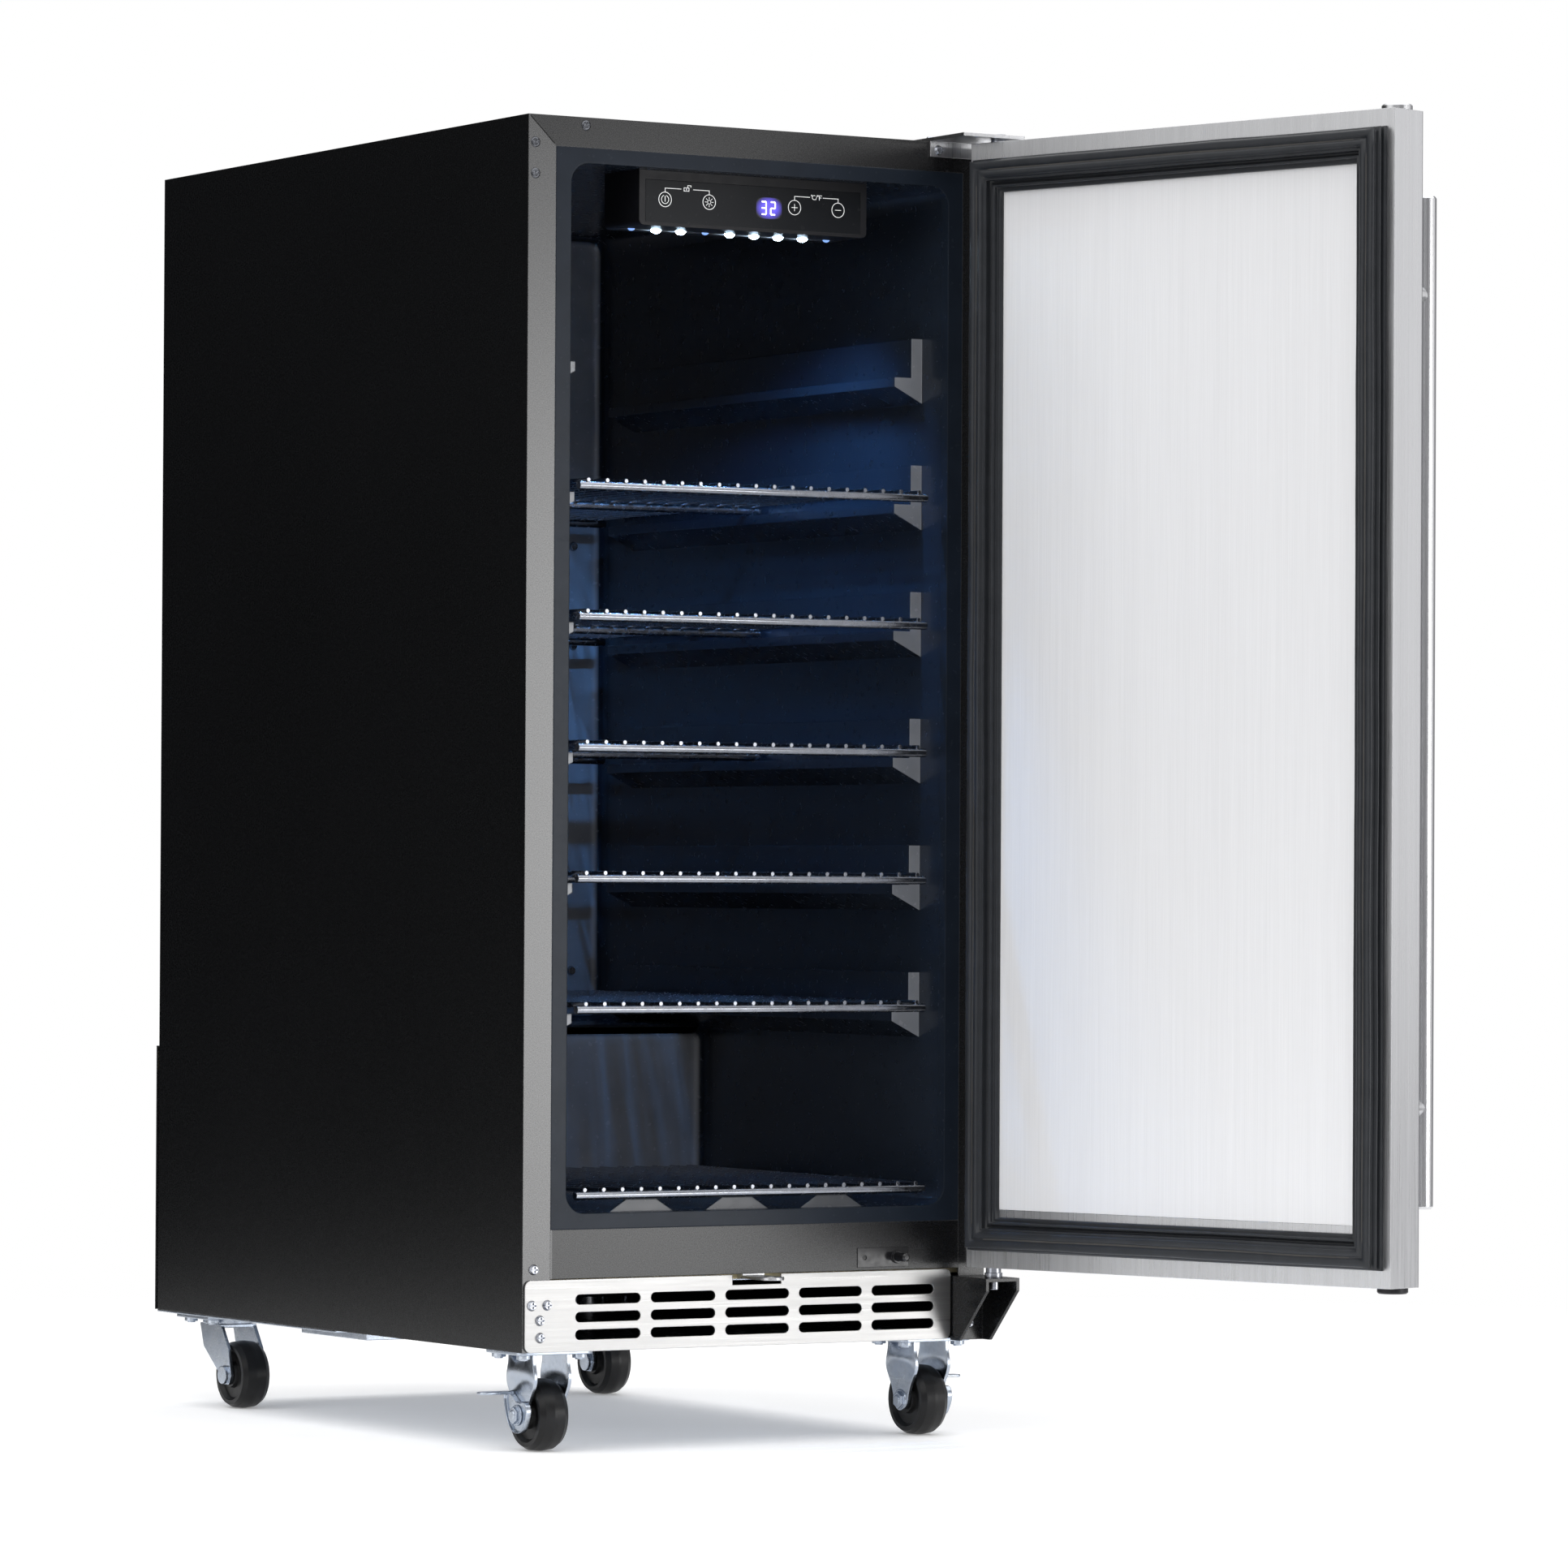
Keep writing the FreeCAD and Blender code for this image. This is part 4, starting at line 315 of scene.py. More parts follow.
def glow(name, colour, strength):
    """A dark lens that shines in one colour."""
    base = (0.02, 0.02, 0.03)
    look = Look(name, edge=0, Roughness=0.3, Emission_Strength=strength)
    spread = look.colours(look.noise(900, detail=2), (0.3, grey(0.9, colour)), (0.7, colour))
    look.link(spread, look.shader.inputs["Emission Color"])
    look.paint(look.colours(look.noise(500), (0.3, base), (0.7, grey(1.4, base))))
    return look


def foam():
    look = Look("insulation_foam_look", edge=0, Roughness=0.9)
    look.paint(look.colours(look.noise(60, detail=5), (0.3, (0.72, 0.62, 0.36)), (0.7, (0.82, 0.73, 0.48))))
    look.bump(look.cells(500), 0.0003)
    return look


def circuit():
    look = Look("circuit_board_look", edge=0, Roughness=0.35)
    traces = look.new("ShaderNodeTexBrick")
    traces.inputs["Scale"].default_value = 160
    look.link(look.place, traces.inputs["Vector"])
    look.paint(look.colours(traces.outputs["Fac"], (0.0, (0.01, 0.10, 0.05)), (1.0, (0.03, 0.22, 0.10))))
    look.bump(traces.outputs["Fac"], 0.00005)
    return look


LIP_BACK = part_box("inner_liner")[0].y + 0.006      # the liner is its inside behind this
wrap_low, wrap_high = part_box("cabinet_wrap")
FLANGE_EDGE = wrap_low.x + 0.0225           # just inside the left front flange
MITRE = wrap_low.x + wrap_high.z            # x + z along the joint at the flanges' corner
STEEL_TINT = (0.985, 0.99, 1.01)

LOOKS = {
    "black_steel": painted_sheet(),
    "zinc_steel": galvanised(),
    "foam": foam(),
    "liner_plastic": liner(),
    "aluminium": metal("aluminium_look", 0.78, 0.3, 0.5),
    "stainless": brushed("stainless_look", 2, 0.60, 1.0, 0.24, 0.38, 0.000003, STEEL_TINT),
    "stainless_bright": brushed(
        "stainless_bright_look", 2, 0.84, 0.25, 0.40, 0.55, 0.000002, (1.0, 1.0, 1.01), 0.07, 0.95),
    "bright_steel": metal("bright_steel_look", 0.46, 0.12, 0.24),
    "white_plastic": plastic("white_plastic_look", (0.05, 0.05, 0.055), (0.07, 0.07, 0.075), 0.3, 0.4),
    "black_plastic": plastic(
        "black_plastic_look", (0.006, 0.006, 0.008), (0.010, 0.010, 0.012), 0.34, 0.46, spec=0.3),
    "touch_glass": plastic(
        "touch_glass_look", (0.007, 0.008, 0.010), (0.009, 0.010, 0.012), 0.2, 0.28, 0.000002, spec=0.16),
    "circuit_board": circuit(),
    "gasket_rubber": rubber(
        "gasket_rubber_look", (0.016, 0.018, 0.021), (0.022, 0.024, 0.028), 0.28, 0.38, (0.05, 0.052, 0.056)),
    "magnet": plastic("magnet_look", (0.03, 0.028, 0.026), (0.05, 0.047, 0.043), 0.5, 0.7),
    "wheel_rubber": rubber(
        "wheel_rubber_look", (0.003, 0.003, 0.0034), (0.0055, 0.0055, 0.006), 0.3, 0.42, (0.02, 0.02, 0.021)),
    "black_rubber": rubber("black_rubber_look", (0.012, 0.012, 0.012), (0.02, 0.02, 0.02)),
    "compressor_paint": plastic(
        "compressor_paint_look", (0.008, 0.008, 0.009), (0.014, 0.014, 0.015), 0.25, 0.4, 0.00006, 300),
    "copper": metal("copper_look", 0.8, 0.2, 0.4, (1.0, 0.55, 0.36)),
    "black_screw": metal("black_screw_look", 0.14, 0.12, 0.22),
    "shelf_wire": metal("shelf_wire_look", 0.34, 0.16, 0.30, pits=0.000006),
    "lamp_lens": glow("lamp_lens_look", (0.55, 0.72, 1.0), 2.0),
}
KICK_STEEL = brushed("kick_plate_look", 0, 0.42, 1.0, 0.26, 0.40, 0.000003, (1.0, 0.99, 0.975))
HANDLE_STEEL = brushed("handle_look", 2, 0.62, 1.0, 0.2, 0.34, tint=STEEL_TINT)
SWITCH_BLACK = plastic(
    "switch_black_look", (0.004, 0.004, 0.005), (0.008, 0.008, 0.009), 0.12, 0.22, 0.000004)

slot_of = {part["node"]: part["material_slot"] for part in frame["record"]["subparts"]}


def dress(obj, look):
    obj.data.materials.clear()
    obj.data.materials.append(look.material)


OWN_LOOKS = {          # nodes that do not wear their slot's look
    "door_switch_plate": SWITCH_BLACK,
    "door_switch_plunger": SWITCH_BLACK,
    "kick_plate": KICK_STEEL,
    "handle_bar": HANDLE_STEEL,
}
for name, obj in nodes.items():
    dress(obj, OWN_LOOKS.get(name, LOOKS[slot_of[name]]))


# ---------------------------------------------------------------- mesh helpers

def piece(name, points, faces, look, body, slot, smooth=False, crease=None):
    """A visual piece that rides on a body. Edges sharper than crease, in degrees, stay sharp."""
    mesh = bpy.data.meshes.new(name)
    mesh.from_pydata([tuple(p) for p in points], [], faces)
    shape = bmesh.new()
    shape.from_mesh(mesh)
    bmesh.ops.recalc_face_normals(shape, faces=shape.faces)
    shape.to_mesh(mesh)
    shape.free()
    for face in mesh.polygons:
        face.use_smooth = smooth
    if crease:
        mesh.set_sharp_from_angle(angle=math.radians(crease))
    obj = bpy.data.objects.new(name, mesh)
    bpy.context.scene.collection.objects.link(obj)
    dress(obj, look)
    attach(obj, body)
    return obj


class Flat:
    """Thin raised shapes on an upright face, drawn in millimetres from a point on it."""

    def __init__(self, origin, height=0.12):
        self.origin, self.height = Vector(origin), height * MM
        self.points, self.faces = [], []

    def polygon(self, outline):
        start, count = len(self.points), len(outline)
        for depth in (0.0, -self.height):
            self.points += [self.origin + Vector((x * MM, depth, z * MM)) for x, z in outline]
        self.faces.append(list(range(start, start + count)))
        self.faces.append(list(range(start + count, start + 2 * count)))
        for i in range(count):
            j = (i + 1) % count
            self.faces.append([start + i, start + j, start + count + j, start + count + i])

    def line(self, start, end, width=0.42):
        (x0, z0), (x1, z1) = start, end
        length = math.hypot(x1 - x0, z1 - z0)
        along = ((x1 - x0) / length, (z1 - z0) / length)
        side = (-along[1] * width / 2, along[0] * width / 2)
        x0, z0 = x0 - along[0] * width / 2, z0 - along[1] * width / 2
        x1, z1 = x1 + along[0] * width / 2, z1 + along[1] * width / 2
        self.polygon([(x0 + side[0], z0 + side[1]), (x1 + side[0], z1 + side[1]),
                      (x1 - side[0], z1 - side[1]), (x0 - side[0], z0 - side[1])])

    def path(self, points, width=0.42):
        for start, end in zip(points, points[1:]):
            self.line(start, end, width)

    def arc(self, centre, radius, start=0, end=360, width=0.42, steps=40):
        def at(r, i):
            turn = math.radians(start + (end - start) * i / steps)
            return centre[0] + r * math.cos(turn), centre[1] + r * math.sin(turn)
        for i in range(steps):
            self.polygon([at(radius - width / 2, i), at(radius + width / 2, i),
                          at(radius + width / 2, i + 1), at(radius - width / 2, i + 1)])


# ---------------------------------------------------------------- touch panel

PRINT = Look("panel_print_look", edge=0, Roughness=0.5, Emission_Strength=0.5)
PRINT.paint(PRINT.colours(PRINT.noise(800), (0.3, grey(0.62)), (0.7, grey(0.78))))
PRINT.link(PRINT.colours(PRINT.noise(800), (0.3, grey(0.8)), (0.7, grey(0.95))),
           PRINT.shader.inputs["Emission Color"])
DIGIT = glow("digit_look", (0.80, 0.78, 1.0), 4.0)
panel_low, panel_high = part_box("touch_panel")
panel_middle = ((panel_low.x + panel_high.x) / 2, panel_low.y, (panel_low.z + panel_high.z) / 2)
ICON = 5.1                # ring radius
ICON_LEVEL = 1.3          # height of the ring row over the panel's middle
BRACKET = 9.2             # height of the bracket lines over the panel's middle
POWER, LAMP, PLUS, MINUS = -72.2, -36.5, 33.3, 69.3
DISPLAY_MIDDLE = 12.35    # middle of the display right of the panel's middle


def panel_print():
    """Generic icons: power, lamp, plus and minus in rings, a lock and a temperature unit."""
    flat = Flat(panel_middle)
    for x in (POWER, LAMP, PLUS, MINUS):
        flat.arc((x, ICON_LEVEL), ICON)
    flat.arc((POWER, ICON_LEVEL), 2.9, 110, 430, 0.4)
    flat.line((POWER, ICON_LEVEL - 1.3), (POWER, ICON_LEVEL + 2.2), 0.5)
    flat.arc((LAMP, ICON_LEVEL), 1.35, width=0.34)
    for i in range(8):
        turn = math.radians(45 * i)
        across, up = math.cos(turn), math.sin(turn)
        near = (LAMP + across * 2.2, ICON_LEVEL + up * 2.2)
        far = (LAMP + across * 3.3, ICON_LEVEL + up * 3.3)
        flat.line(near, far, 0.36)
    for x in (PLUS, MINUS):
        flat.line((x - 2.3, ICON_LEVEL), (x + 2.3, ICON_LEVEL), 0.4)
    flat.line((PLUS, ICON_LEVEL - 2.3), (PLUS, ICON_LEVEL + 2.3), 0.4)
    for left, right, gap in ((POWER, LAMP, 5.0), (PLUS, MINUS, 5.6)):
        middle = (left + right) / 2
        flat.path([(left, ICON_LEVEL + ICON), (left, BRACKET), (middle - gap, BRACKET)])
        flat.path([(right, ICON_LEVEL + ICON), (right, BRACKET), (middle + gap, BRACKET)])
    lock = (POWER + LAMP) / 2
    flat.path([(lock - 2.6, BRACKET - 1.2), (lock + 1.4, BRACKET - 1.2), (lock + 1.4, BRACKET + 1.0),
               (lock - 2.6, BRACKET + 1.0), (lock - 2.6, BRACKET - 1.2)], 0.4)
    flat.path([(lock + 0.4, BRACKET + 1.0), (lock + 0.4, BRACKET + 2.7), (lock + 3.0, BRACKET + 2.7),
               (lock + 3.0, BRACKET + 1.6)], 0.4)
    flat.line((lock - 0.6, BRACKET - 0.4), (lock - 0.6, BRACKET + 0.3), 0.5)
    unit = (PLUS + MINUS) / 2
    flat.arc((unit - 3.9, BRACKET + 1.3), 0.45, width=0.28, steps=12)
    flat.arc((unit - 1.9, BRACKET), 1.5, 50, 310, 0.4, 16)
    flat.line((unit - 0.5, BRACKET - 1.6), (unit + 0.7, BRACKET + 1.7), 0.3)
    flat.arc((unit + 1.3, BRACKET + 1.3), 0.45, width=0.28, steps=12)
    flat.path([(unit + 2.4, BRACKET - 1.6), (unit + 2.4, BRACKET + 1.5), (unit + 4.4, BRACKET + 1.5)], 0.4)
    flat.line((unit + 2.4, BRACKET), (unit + 3.9, BRACKET), 0.4)
    piece("panel_print", flat.points, flat.faces, PRINT, "cabinet", "touch_glass")


SEGMENTS = {           # the lit bars of a seven-bar digit, from (across, up) to (across, up)
    "top": ((0, 2), (1, 2)), "middle": ((0, 1), (1, 1)), "bottom": ((0, 0), (1, 0)),
    "upper_left": ((0, 1), (0, 2)), "upper_right": ((1, 1), (1, 2)),
    "lower_left": ((0, 0), (0, 1)), "lower_right": ((1, 0), (1, 1)),
}
DIGIT_BARS = {
    "3": ("top", "middle", "bottom", "upper_right", "lower_right"),
    "2": ("top", "middle", "bottom", "upper_right", "lower_left"),
}


def display_digits():
    flat = Flat(panel_middle, 0.14)
    wide, tall, gap = 3.6, 4.4, 0.55        # one bar across, one bar up, and the gap at a bar's ends
    for number, left in (("3", DISPLAY_MIDDLE - 6.0), ("2", DISPLAY_MIDDLE + 1.4)):
        for bar in DIGIT_BARS[number]:
            (x0, z0), (x1, z1) = SEGMENTS[bar]
            x0, x1 = left + x0 * wide, left + x1 * wide
            z0, z1 = -tall - 0.3 + z0 * tall, -tall - 0.3 + z1 * tall
            if z0 == z1:
                flat.line((x0 + gap, z0), (x1 - gap, z1), 0.95)
            else:
                flat.line((x0, z0 + gap), (x1, z1 - gap), 0.95)
    piece("display_digits", flat.points, flat.faces, DIGIT, "cabinet", "lamp_lens")


def halo_look():
    """Blue light that fades out from the display's middle."""
    halo = Look("display_halo_look", edge=0, Roughness=0.2)
    away = halo.new("ShaderNodeVectorMath", operation="SUBTRACT")
    halo.link(halo.place, away.inputs[0])
    away.inputs[1].default_value = Vector(panel_middle) + Vector((DISPLAY_MIDDLE, 0, -0.3)) * MM
    scale = halo.new("ShaderNodeVectorMath", operation="MULTIPLY")
    halo.link(away.outputs[0], scale.inputs[0])
    scale.inputs[1].default_value = (1 / 0.0115, 0, 1 / 0.0085)
    length = halo.new("ShaderNodeVectorMath", operation="LENGTH")
    halo.link(scale.outputs[0], length.inputs[0])
    fade = halo.colours(length.outputs["Value"], (0.45, (0.14, 0.10, 0.95)), (1.0, (0.0, 0.0, 0.0)))
    halo.link(fade, halo.shader.inputs["Emission Color"])
    halo.shader.inputs["Emission Strength"].default_value = 1.2
    halo.paint(halo.colours(halo.noise(300), (0.3, grey(0.012)), (0.7, grey(0.016))))
    return halo


def display_window():
    """A window with rounded corners: an ellipse swollen by a power below one."""
    half_wide, half_tall, power, steps = 10.5, 7.5, 0.5, 32
    corners = []
    for i in range(steps):
        turn = math.radians(360 * i / steps)
        across, up = math.cos(turn), math.sin(turn)
        corners.append((DISPLAY_MIDDLE + half_wide * math.copysign(abs(across) ** power, across),
                        -0.3 + half_tall * math.copysign(abs(up) ** power, up)))
    window = Flat(panel_middle, 0.05)
    window.polygon(corners)
    piece("display_window", window.points, window.faces, halo_look(), "cabinet", "touch_glass")


# ---------------------------------------------------------------- lamps

LIT = (1, 2, 4, 5, 6, 7)        # places in the row that shine; the others are nearly dark
lamp_low, lamp_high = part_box("lamps")


def lens(points, faces, x, y, radius, top, depth):
    """A small round lens: a ring of sides and a dome below them."""
    around, rows = 20, 6
    start = len(points)
    for row in range(rows):
        turn = math.radians(90 * row / rows)
        for i in range(around):
            angle = 2 * math.pi * i / around
            reach, drop = radius * math.cos(turn), depth * math.sin(turn)
            points.append((x + reach * math.cos(angle), y + reach * math.sin(angle), top - drop))
    points.append((x, y, top - depth))
    faces.append([start + i for i in range(around)])
    for row in range(rows - 1):
        for i in range(around):
            j = (i + 1) % around
            a = start + row * around
            faces.append([a + i, a + j, a + around + j, a + around + i])
    last = start + (rows - 1) * around
    for i in range(around):
        faces.append([last + i, last + (i + 1) % around, len(points) - 1])


def lamp_light(place, x, y):
    """A blue spot under one lens, leaning back into the cabinet."""
    light = bpy.data.lights.new(f"lamp_light_{place}", "SPOT")
    light.energy, light.color, light.shadow_soft_size = 1.9, (0.14, 0.42, 1.0), 0.002
    light.spot_size, light.spot_blend = math.radians(104), 0.7
    obj = bpy.data.objects.new(f"lamp_light_{place}", light)
    obj.location = (x, y, lamp_low.z - 0.004)
    obj.rotation_euler = Vector((0.08, 0.42, -1.0)).to_track_quat("-Z", "Y").to_euler()
    bpy.context.scene.collection.objects.link(obj)


def lamp_row():
    """Nine lenses in a row; the lit ones are larger and each has its light."""
    count = 9
    half = (lamp_high.y - lamp_low.y) / 2
    first, last = lamp_low.x + half, lamp_high.x - half
    middle_y = (lamp_low.y + lamp_high.y) / 2
    shapes = {True: ([], []), False: ([], [])}      # points and faces of the lit and the faint lenses
    for i in range(count):
        x = first + (last - first) * i / (count - 1)
        shines = i in LIT
        swell = 1.5 if shines else 1.0
        lens(*shapes[shines], x, middle_y, half * swell, lamp_high.z, (lamp_high.z - lamp_low.z) * swell)
        if shines:
            lamp_light(i, x, middle_y)
    lit = glow("lamp_lit_look", (0.60, 0.80, 1.0), 60.0)
    faint = glow("lamp_faint_look", (0.25, 0.45, 1.0), 1.2)
    lit_piece = piece("lamp_lenses_lit", *shapes[True], lit, "cabinet", "lamp_lens", True)
    piece("lamp_lenses_faint", *shapes[False], faint, "cabinet", "lamp_lens", True)
    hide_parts("lamps")


# ---------------------------------------------------------------- door gasket

swing = joints["door_swing"]
hinge = Vector(swing["pos_m"])
door_turn = math.radians(-min(swing["range_deg"]))


def opened(x, y, z):
    """A point of the shut door, turned to where the door stands at rest."""
    turn = Matrix.Rotation(door_turn, 3, "Z")
    return turn @ (Vector((x, y, z)) - hinge) + hinge


def shut_box(node):
    """The node's box with the door shut."""
    turn = Matrix.Rotation(-door_turn, 3, "Z")
    points = np.array([turn @ (v.co - hinge) + hinge for v in nodes[node].data.vertices])
    return points.min(axis=0), points.max(axis=0)


# the seal's outline from its outer foot to its inner foot: (distance inward, height) in mm
PROFILE = [
    (0.0, 0.0), (0.0, 1.6), (0.6, 2.6), (2.4, 2.9), (3.4, 3.4), (3.2, 4.4), (1.2, 5.0), (0.4, 6.2),
    (1.0, 7.4), (3.4, 7.9), (3.8, 8.8), (2.6, 10.0), (2.3, 12.0), (3.4, 13.0), (5.0, 13.2), (7.4, 12.9),
    (8.3, 11.9), (9.3, 11.9), (10.1, 12.9), (12.4, 13.1), (13.8, 12.4), (14.2, 11.0), (15.0, 10.4),
    (16.0, 10.8), (16.4, 9.8), (15.8, 7.6), (16.1, 5.6), (17.4, 4.6), (18.3, 5.2), (18.9, 6.9), (20.2, 7.2),
    (21.0, 6.0), (20.7, 4.0), (21.4, 3.0), (22.8, 3.4), (23.8, 2.6), (24.0, 1.6), (24.0, 0.0),
]
PROFILE_HEIGHT = 13.2


def rounded(outline, times):
    """Chaikin's corner cutting on an open line, its two ends kept."""
    for _ in range(times):
        cut = [outline[0]]
        for (x0, y0), (x1, y1) in zip(outline, outline[1:]):
            cut.append((x0 * 0.75 + x1 * 0.25, y0 * 0.75 + y1 * 0.25))
            cut.append((x0 * 0.25 + x1 * 0.75, y0 * 0.25 + y1 * 0.75))
        cut.append(outline[-1])
        outline = cut
    return outline


def door_gasket():
    """The seal's outline swept round the shut door, a little wavy between its corners."""
    low, high = shut_box("door_gasket")
    foot, head = low[1], high[1]        # the head faces the cabinet, toward +y with the door shut
    scale = (head - foot) / PROFILE_HEIGHT
    outline = rounded(PROFILE, 2)
    points, faces = [], []
    corners = [(low[0], low[2], 1, 1), (high[0], low[2], -1, 1),
               (high[0], high[2], -1, -1), (low[0], high[2], 1, -1)]       # x, z and the ways inward
    steps = 60
    rows = []
    for side in range(4):
        x0, z0, a0, b0 = corners[side]
        x1, z1, a1, b1 = corners[(side + 1) % 4]
        for step in range(steps + 1):
            share = step / steps
            slack = math.sin(math.pi * share) ** 0.5
            row = []
            for inward, height in outline:
                start = Vector((x0 + a0 * inward * MM, z0 + b0 * inward * MM))
                end = Vector((x1 + a1 * inward * MM, z1 + b1 * inward * MM))
                at = start.lerp(end, share)
                soft = min(1.0, height / 7.0) * slack
                ripple = noise.noise(Vector((at.x * 9, at.y * 9, side * 3.7 + inward * 0.05)))
                droop = noise.noise(Vector((at.x * 26, at.y * 26, side * 5.1 + inward * 0.2)))
                sway = (ripple * 0.9 + droop * 0.3) * soft * MM
                if side % 2 == 0:
                    at.y += sway
                else:
                    at.x += sway
                lift = height * scale - abs(ripple) * 0.25 * soft * MM
                row.append(len(points))
                points.append(opened(at.x, foot + lift, at.y))
            rows.append(row)
    for row, after in zip(rows, rows[1:] + rows[:1]):
        for i in range(len(outline) - 1):
            faces.append([row[i], row[i + 1], after[i + 1], after[i]])
        faces.append([row[-1], row[0], after[0], after[-1]])
    obj = piece("door_gasket_bellows", points, faces, LOOKS["gasket_rubber"], "door", "gasket_rubber", True)
    weld = obj.modifiers.new("weld", "WELD")
    weld.merge_threshold = 0.00001
    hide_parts("door_gasket")


# ---------------------------------------------------------------- front casters

LEG = [             # (height above the axle, half width) down one edge of a fork leg, in mm
    (43.5, 17.0), (40.6, 17.0), (38.8, 17.1), (37.0, 17.2), (35.0, 17.5), (33.0, 18.1), (31.0, 18.7),
    (29.0, 19.3), (27.0, 19.6), (25.0, 19.7), (23.0, 19.4), (21.0, 18.7), (19.0, 17.7), (16.5, 16.1),
    (14.0, 14.5), (11.5, 13.0), (9.0, 11.7), (6.5, 10.7), (4.0, 9.9), (2.0, 9.4), (0.0, 9.0),
    (-1.6, 8.5), (-3.2, 7.6), (-4.6, 6.3), (-5.8, 4.6), (-6.6, 2.8), (-7.0, 0.8),
]
LEG_SHEET, LEG_DISH, DISH_FOOT = 2.5, 2.6, 16.5     # the dish starts this high above the axle
PLATE_SHEET, PLATE_CORNER = 2.5, 6.0
PLATE_WIDE, PLATE_DEEP = 30.0, 25.5                 # half sizes of the top plate
WHEEL_GAP = 1.2                                     # between the wheel and a leg
BRAKE_SHEET, BRAKE_GAP = 2.0, 0.2                   # the gap is on both sides of the brake plate

# washer, nut and shaft end: (radius, start, end, corners, eased edge) in mm, the start and end measured
# outward from the brake plate's gap and, on the other side, from the leg
BRAKE_SIDE = [(7.2, 0.0, 1.0, 32, 0.2), (6.0, 0.5, 4.0, 6, 0.5), (3.4, 3.0, 5.0, 24, 0.4)]
PLAIN_SIDE = [(7.4, -0.2, 0.9, 32, 0.2), (6.2, 0.4, 3.0, 6, 0.5), (3.4, 2.0, 3.8, 24, 0.4)]

# the brake plate's outline round the axle: (toward the back, up) in mm
PEDAL_OUTLINE = [(-14.6, 9), (-16.6, 1), (-9.5, -11.6), (3, -12.8), (12, -4.4), (17.6, 13.4),
                 (13, 15.6), (6, 14.2), (-2, 8.2), (-8, 10.2)]
PEDAL_HOLE, PEDAL_RIM = 4.6, 1.9        # the hole's radius and the rim's height over the plate
TAB_MIDDLE, TAB_HALF, TAB_ROUND = 11.0, 5.6, 4.6    # the tab's middle, half width and round end
TAB_ROOT = [(3.0, 16.0), (0.2, 15.4), (0.2, 8.0), (3.0, 7.0)]       # (outward from the plate, back)
TAB_LEVELS = (14.1, 15.9)


class Solid:
    """Points and faces of closed shapes, given in millimetres from an origin that can be moved."""

    def __init__(self, origin):
        self.origin = Vector(origin)
        self.points, self.faces = [], []

    def loft(self, loops):
        """A closed shape through loops of equal length, with both ends filled."""
        start, count = len(self.points), len(loops[0])
        for loop in loops:
            self.points += [self.origin + Vector(point) * MM for point in loop]
        self.faces.append([start + i for i in range(count)])
        self.faces.append([start + (len(loops) - 1) * count + i for i in range(count)])
        for row in range(len(loops) - 1):
            for i in range(count):
                j, a = (i + 1) % count, start + row * count
                self.faces.append([a + i, a + j, a + count + j, a + count + i])

    def plate(self, outline, axis, low, high, edge=0.5):
        """A flat outline drawn out along X or Z, with its edges eased."""
        middle = (sum(p[0] for p in outline) / len(outline), sum(p[1] for p in outline) / len(outline))
        loops = []
        for at, ease in ((low, edge), (low + edge, 0), (high - edge, 0), (high, edge)):
            loop = []
            for u, v in outline:
                reach = math.hypot(u - middle[0], v - middle[1])
                share = 1 - ease / reach
                u, v = middle[0] + (u - middle[0]) * share, middle[1] + (v - middle[1]) * share
                loop.append((at, u, v) if axis == "X" else (u, v, at))
            loops.append(loop)
        self.loft(loops)

    def disc(self, radius, low, high, corners, edge=0.5):
        """A washer or shaft (many corners) or a hexagon nut (six) round the axle, which lies along X."""
        outline = []
        for i in range(corners):
            turn = 2 * math.pi * (i + 0.5) / corners
            outline.append((radius * math.cos(turn), radius * math.sin(turn)))
        self.plate(outline, "X", low, high, edge)


def round_corners(outline, times):
    """Chaikin's corner cutting on a closed outline."""
    for _ in range(times):
        cut = []
        for (x0, y0), (x1, y1) in zip(outline, outline[1:] + outline[:1]):
            cut.append((x0 * 0.78 + x1 * 0.22, y0 * 0.78 + y1 * 0.22))
            cut.append((x0 * 0.22 + x1 * 0.78, y0 * 0.22 + y1 * 0.78))
        outline = cut
    return outline


def fork_leg(forks, inner, side):
    """One dished leg: its middle stands out from the wheel above the brake plate."""
    columns = 12
    loops = []
    for up, half in LEG:
        lift = min(1.0, max(0.0, (up - DISH_FOOT) / (LEG[0][0] - DISH_FOOT)))
        dish = LEG_DISH * math.sin(lift * math.pi) ** 1.3
        near, far = [], []
        for i in range(columns + 1):
            share = 2 * i / columns - 1
            out = dish * (1 - share * share)
            near.append((side * (inner + out), half * share, up))
            far.append((side * (inner + LEG_SHEET + out), half * share, up))
        loops.append(near + far[::-1])
    forks.loft(loops)


def top_plate(forks, top):
    """The plate over the legs, with rounded corners."""
    outline = []
    for across, back in ((1, 1), (-1, 1), (-1, -1), (1, -1)):
        for step in range(7):
            turn = math.radians(15 * step) + math.atan2(back, across) - math.pi / 4
            outline.append((across * (PLATE_WIDE - PLATE_CORNER) + PLATE_CORNER * math.cos(turn),
                            back * (PLATE_DEEP - PLATE_CORNER) + PLATE_CORNER * math.sin(turn)))
    forks.plate(outline, "Z", top - PLATE_SHEET, top, 0.4)


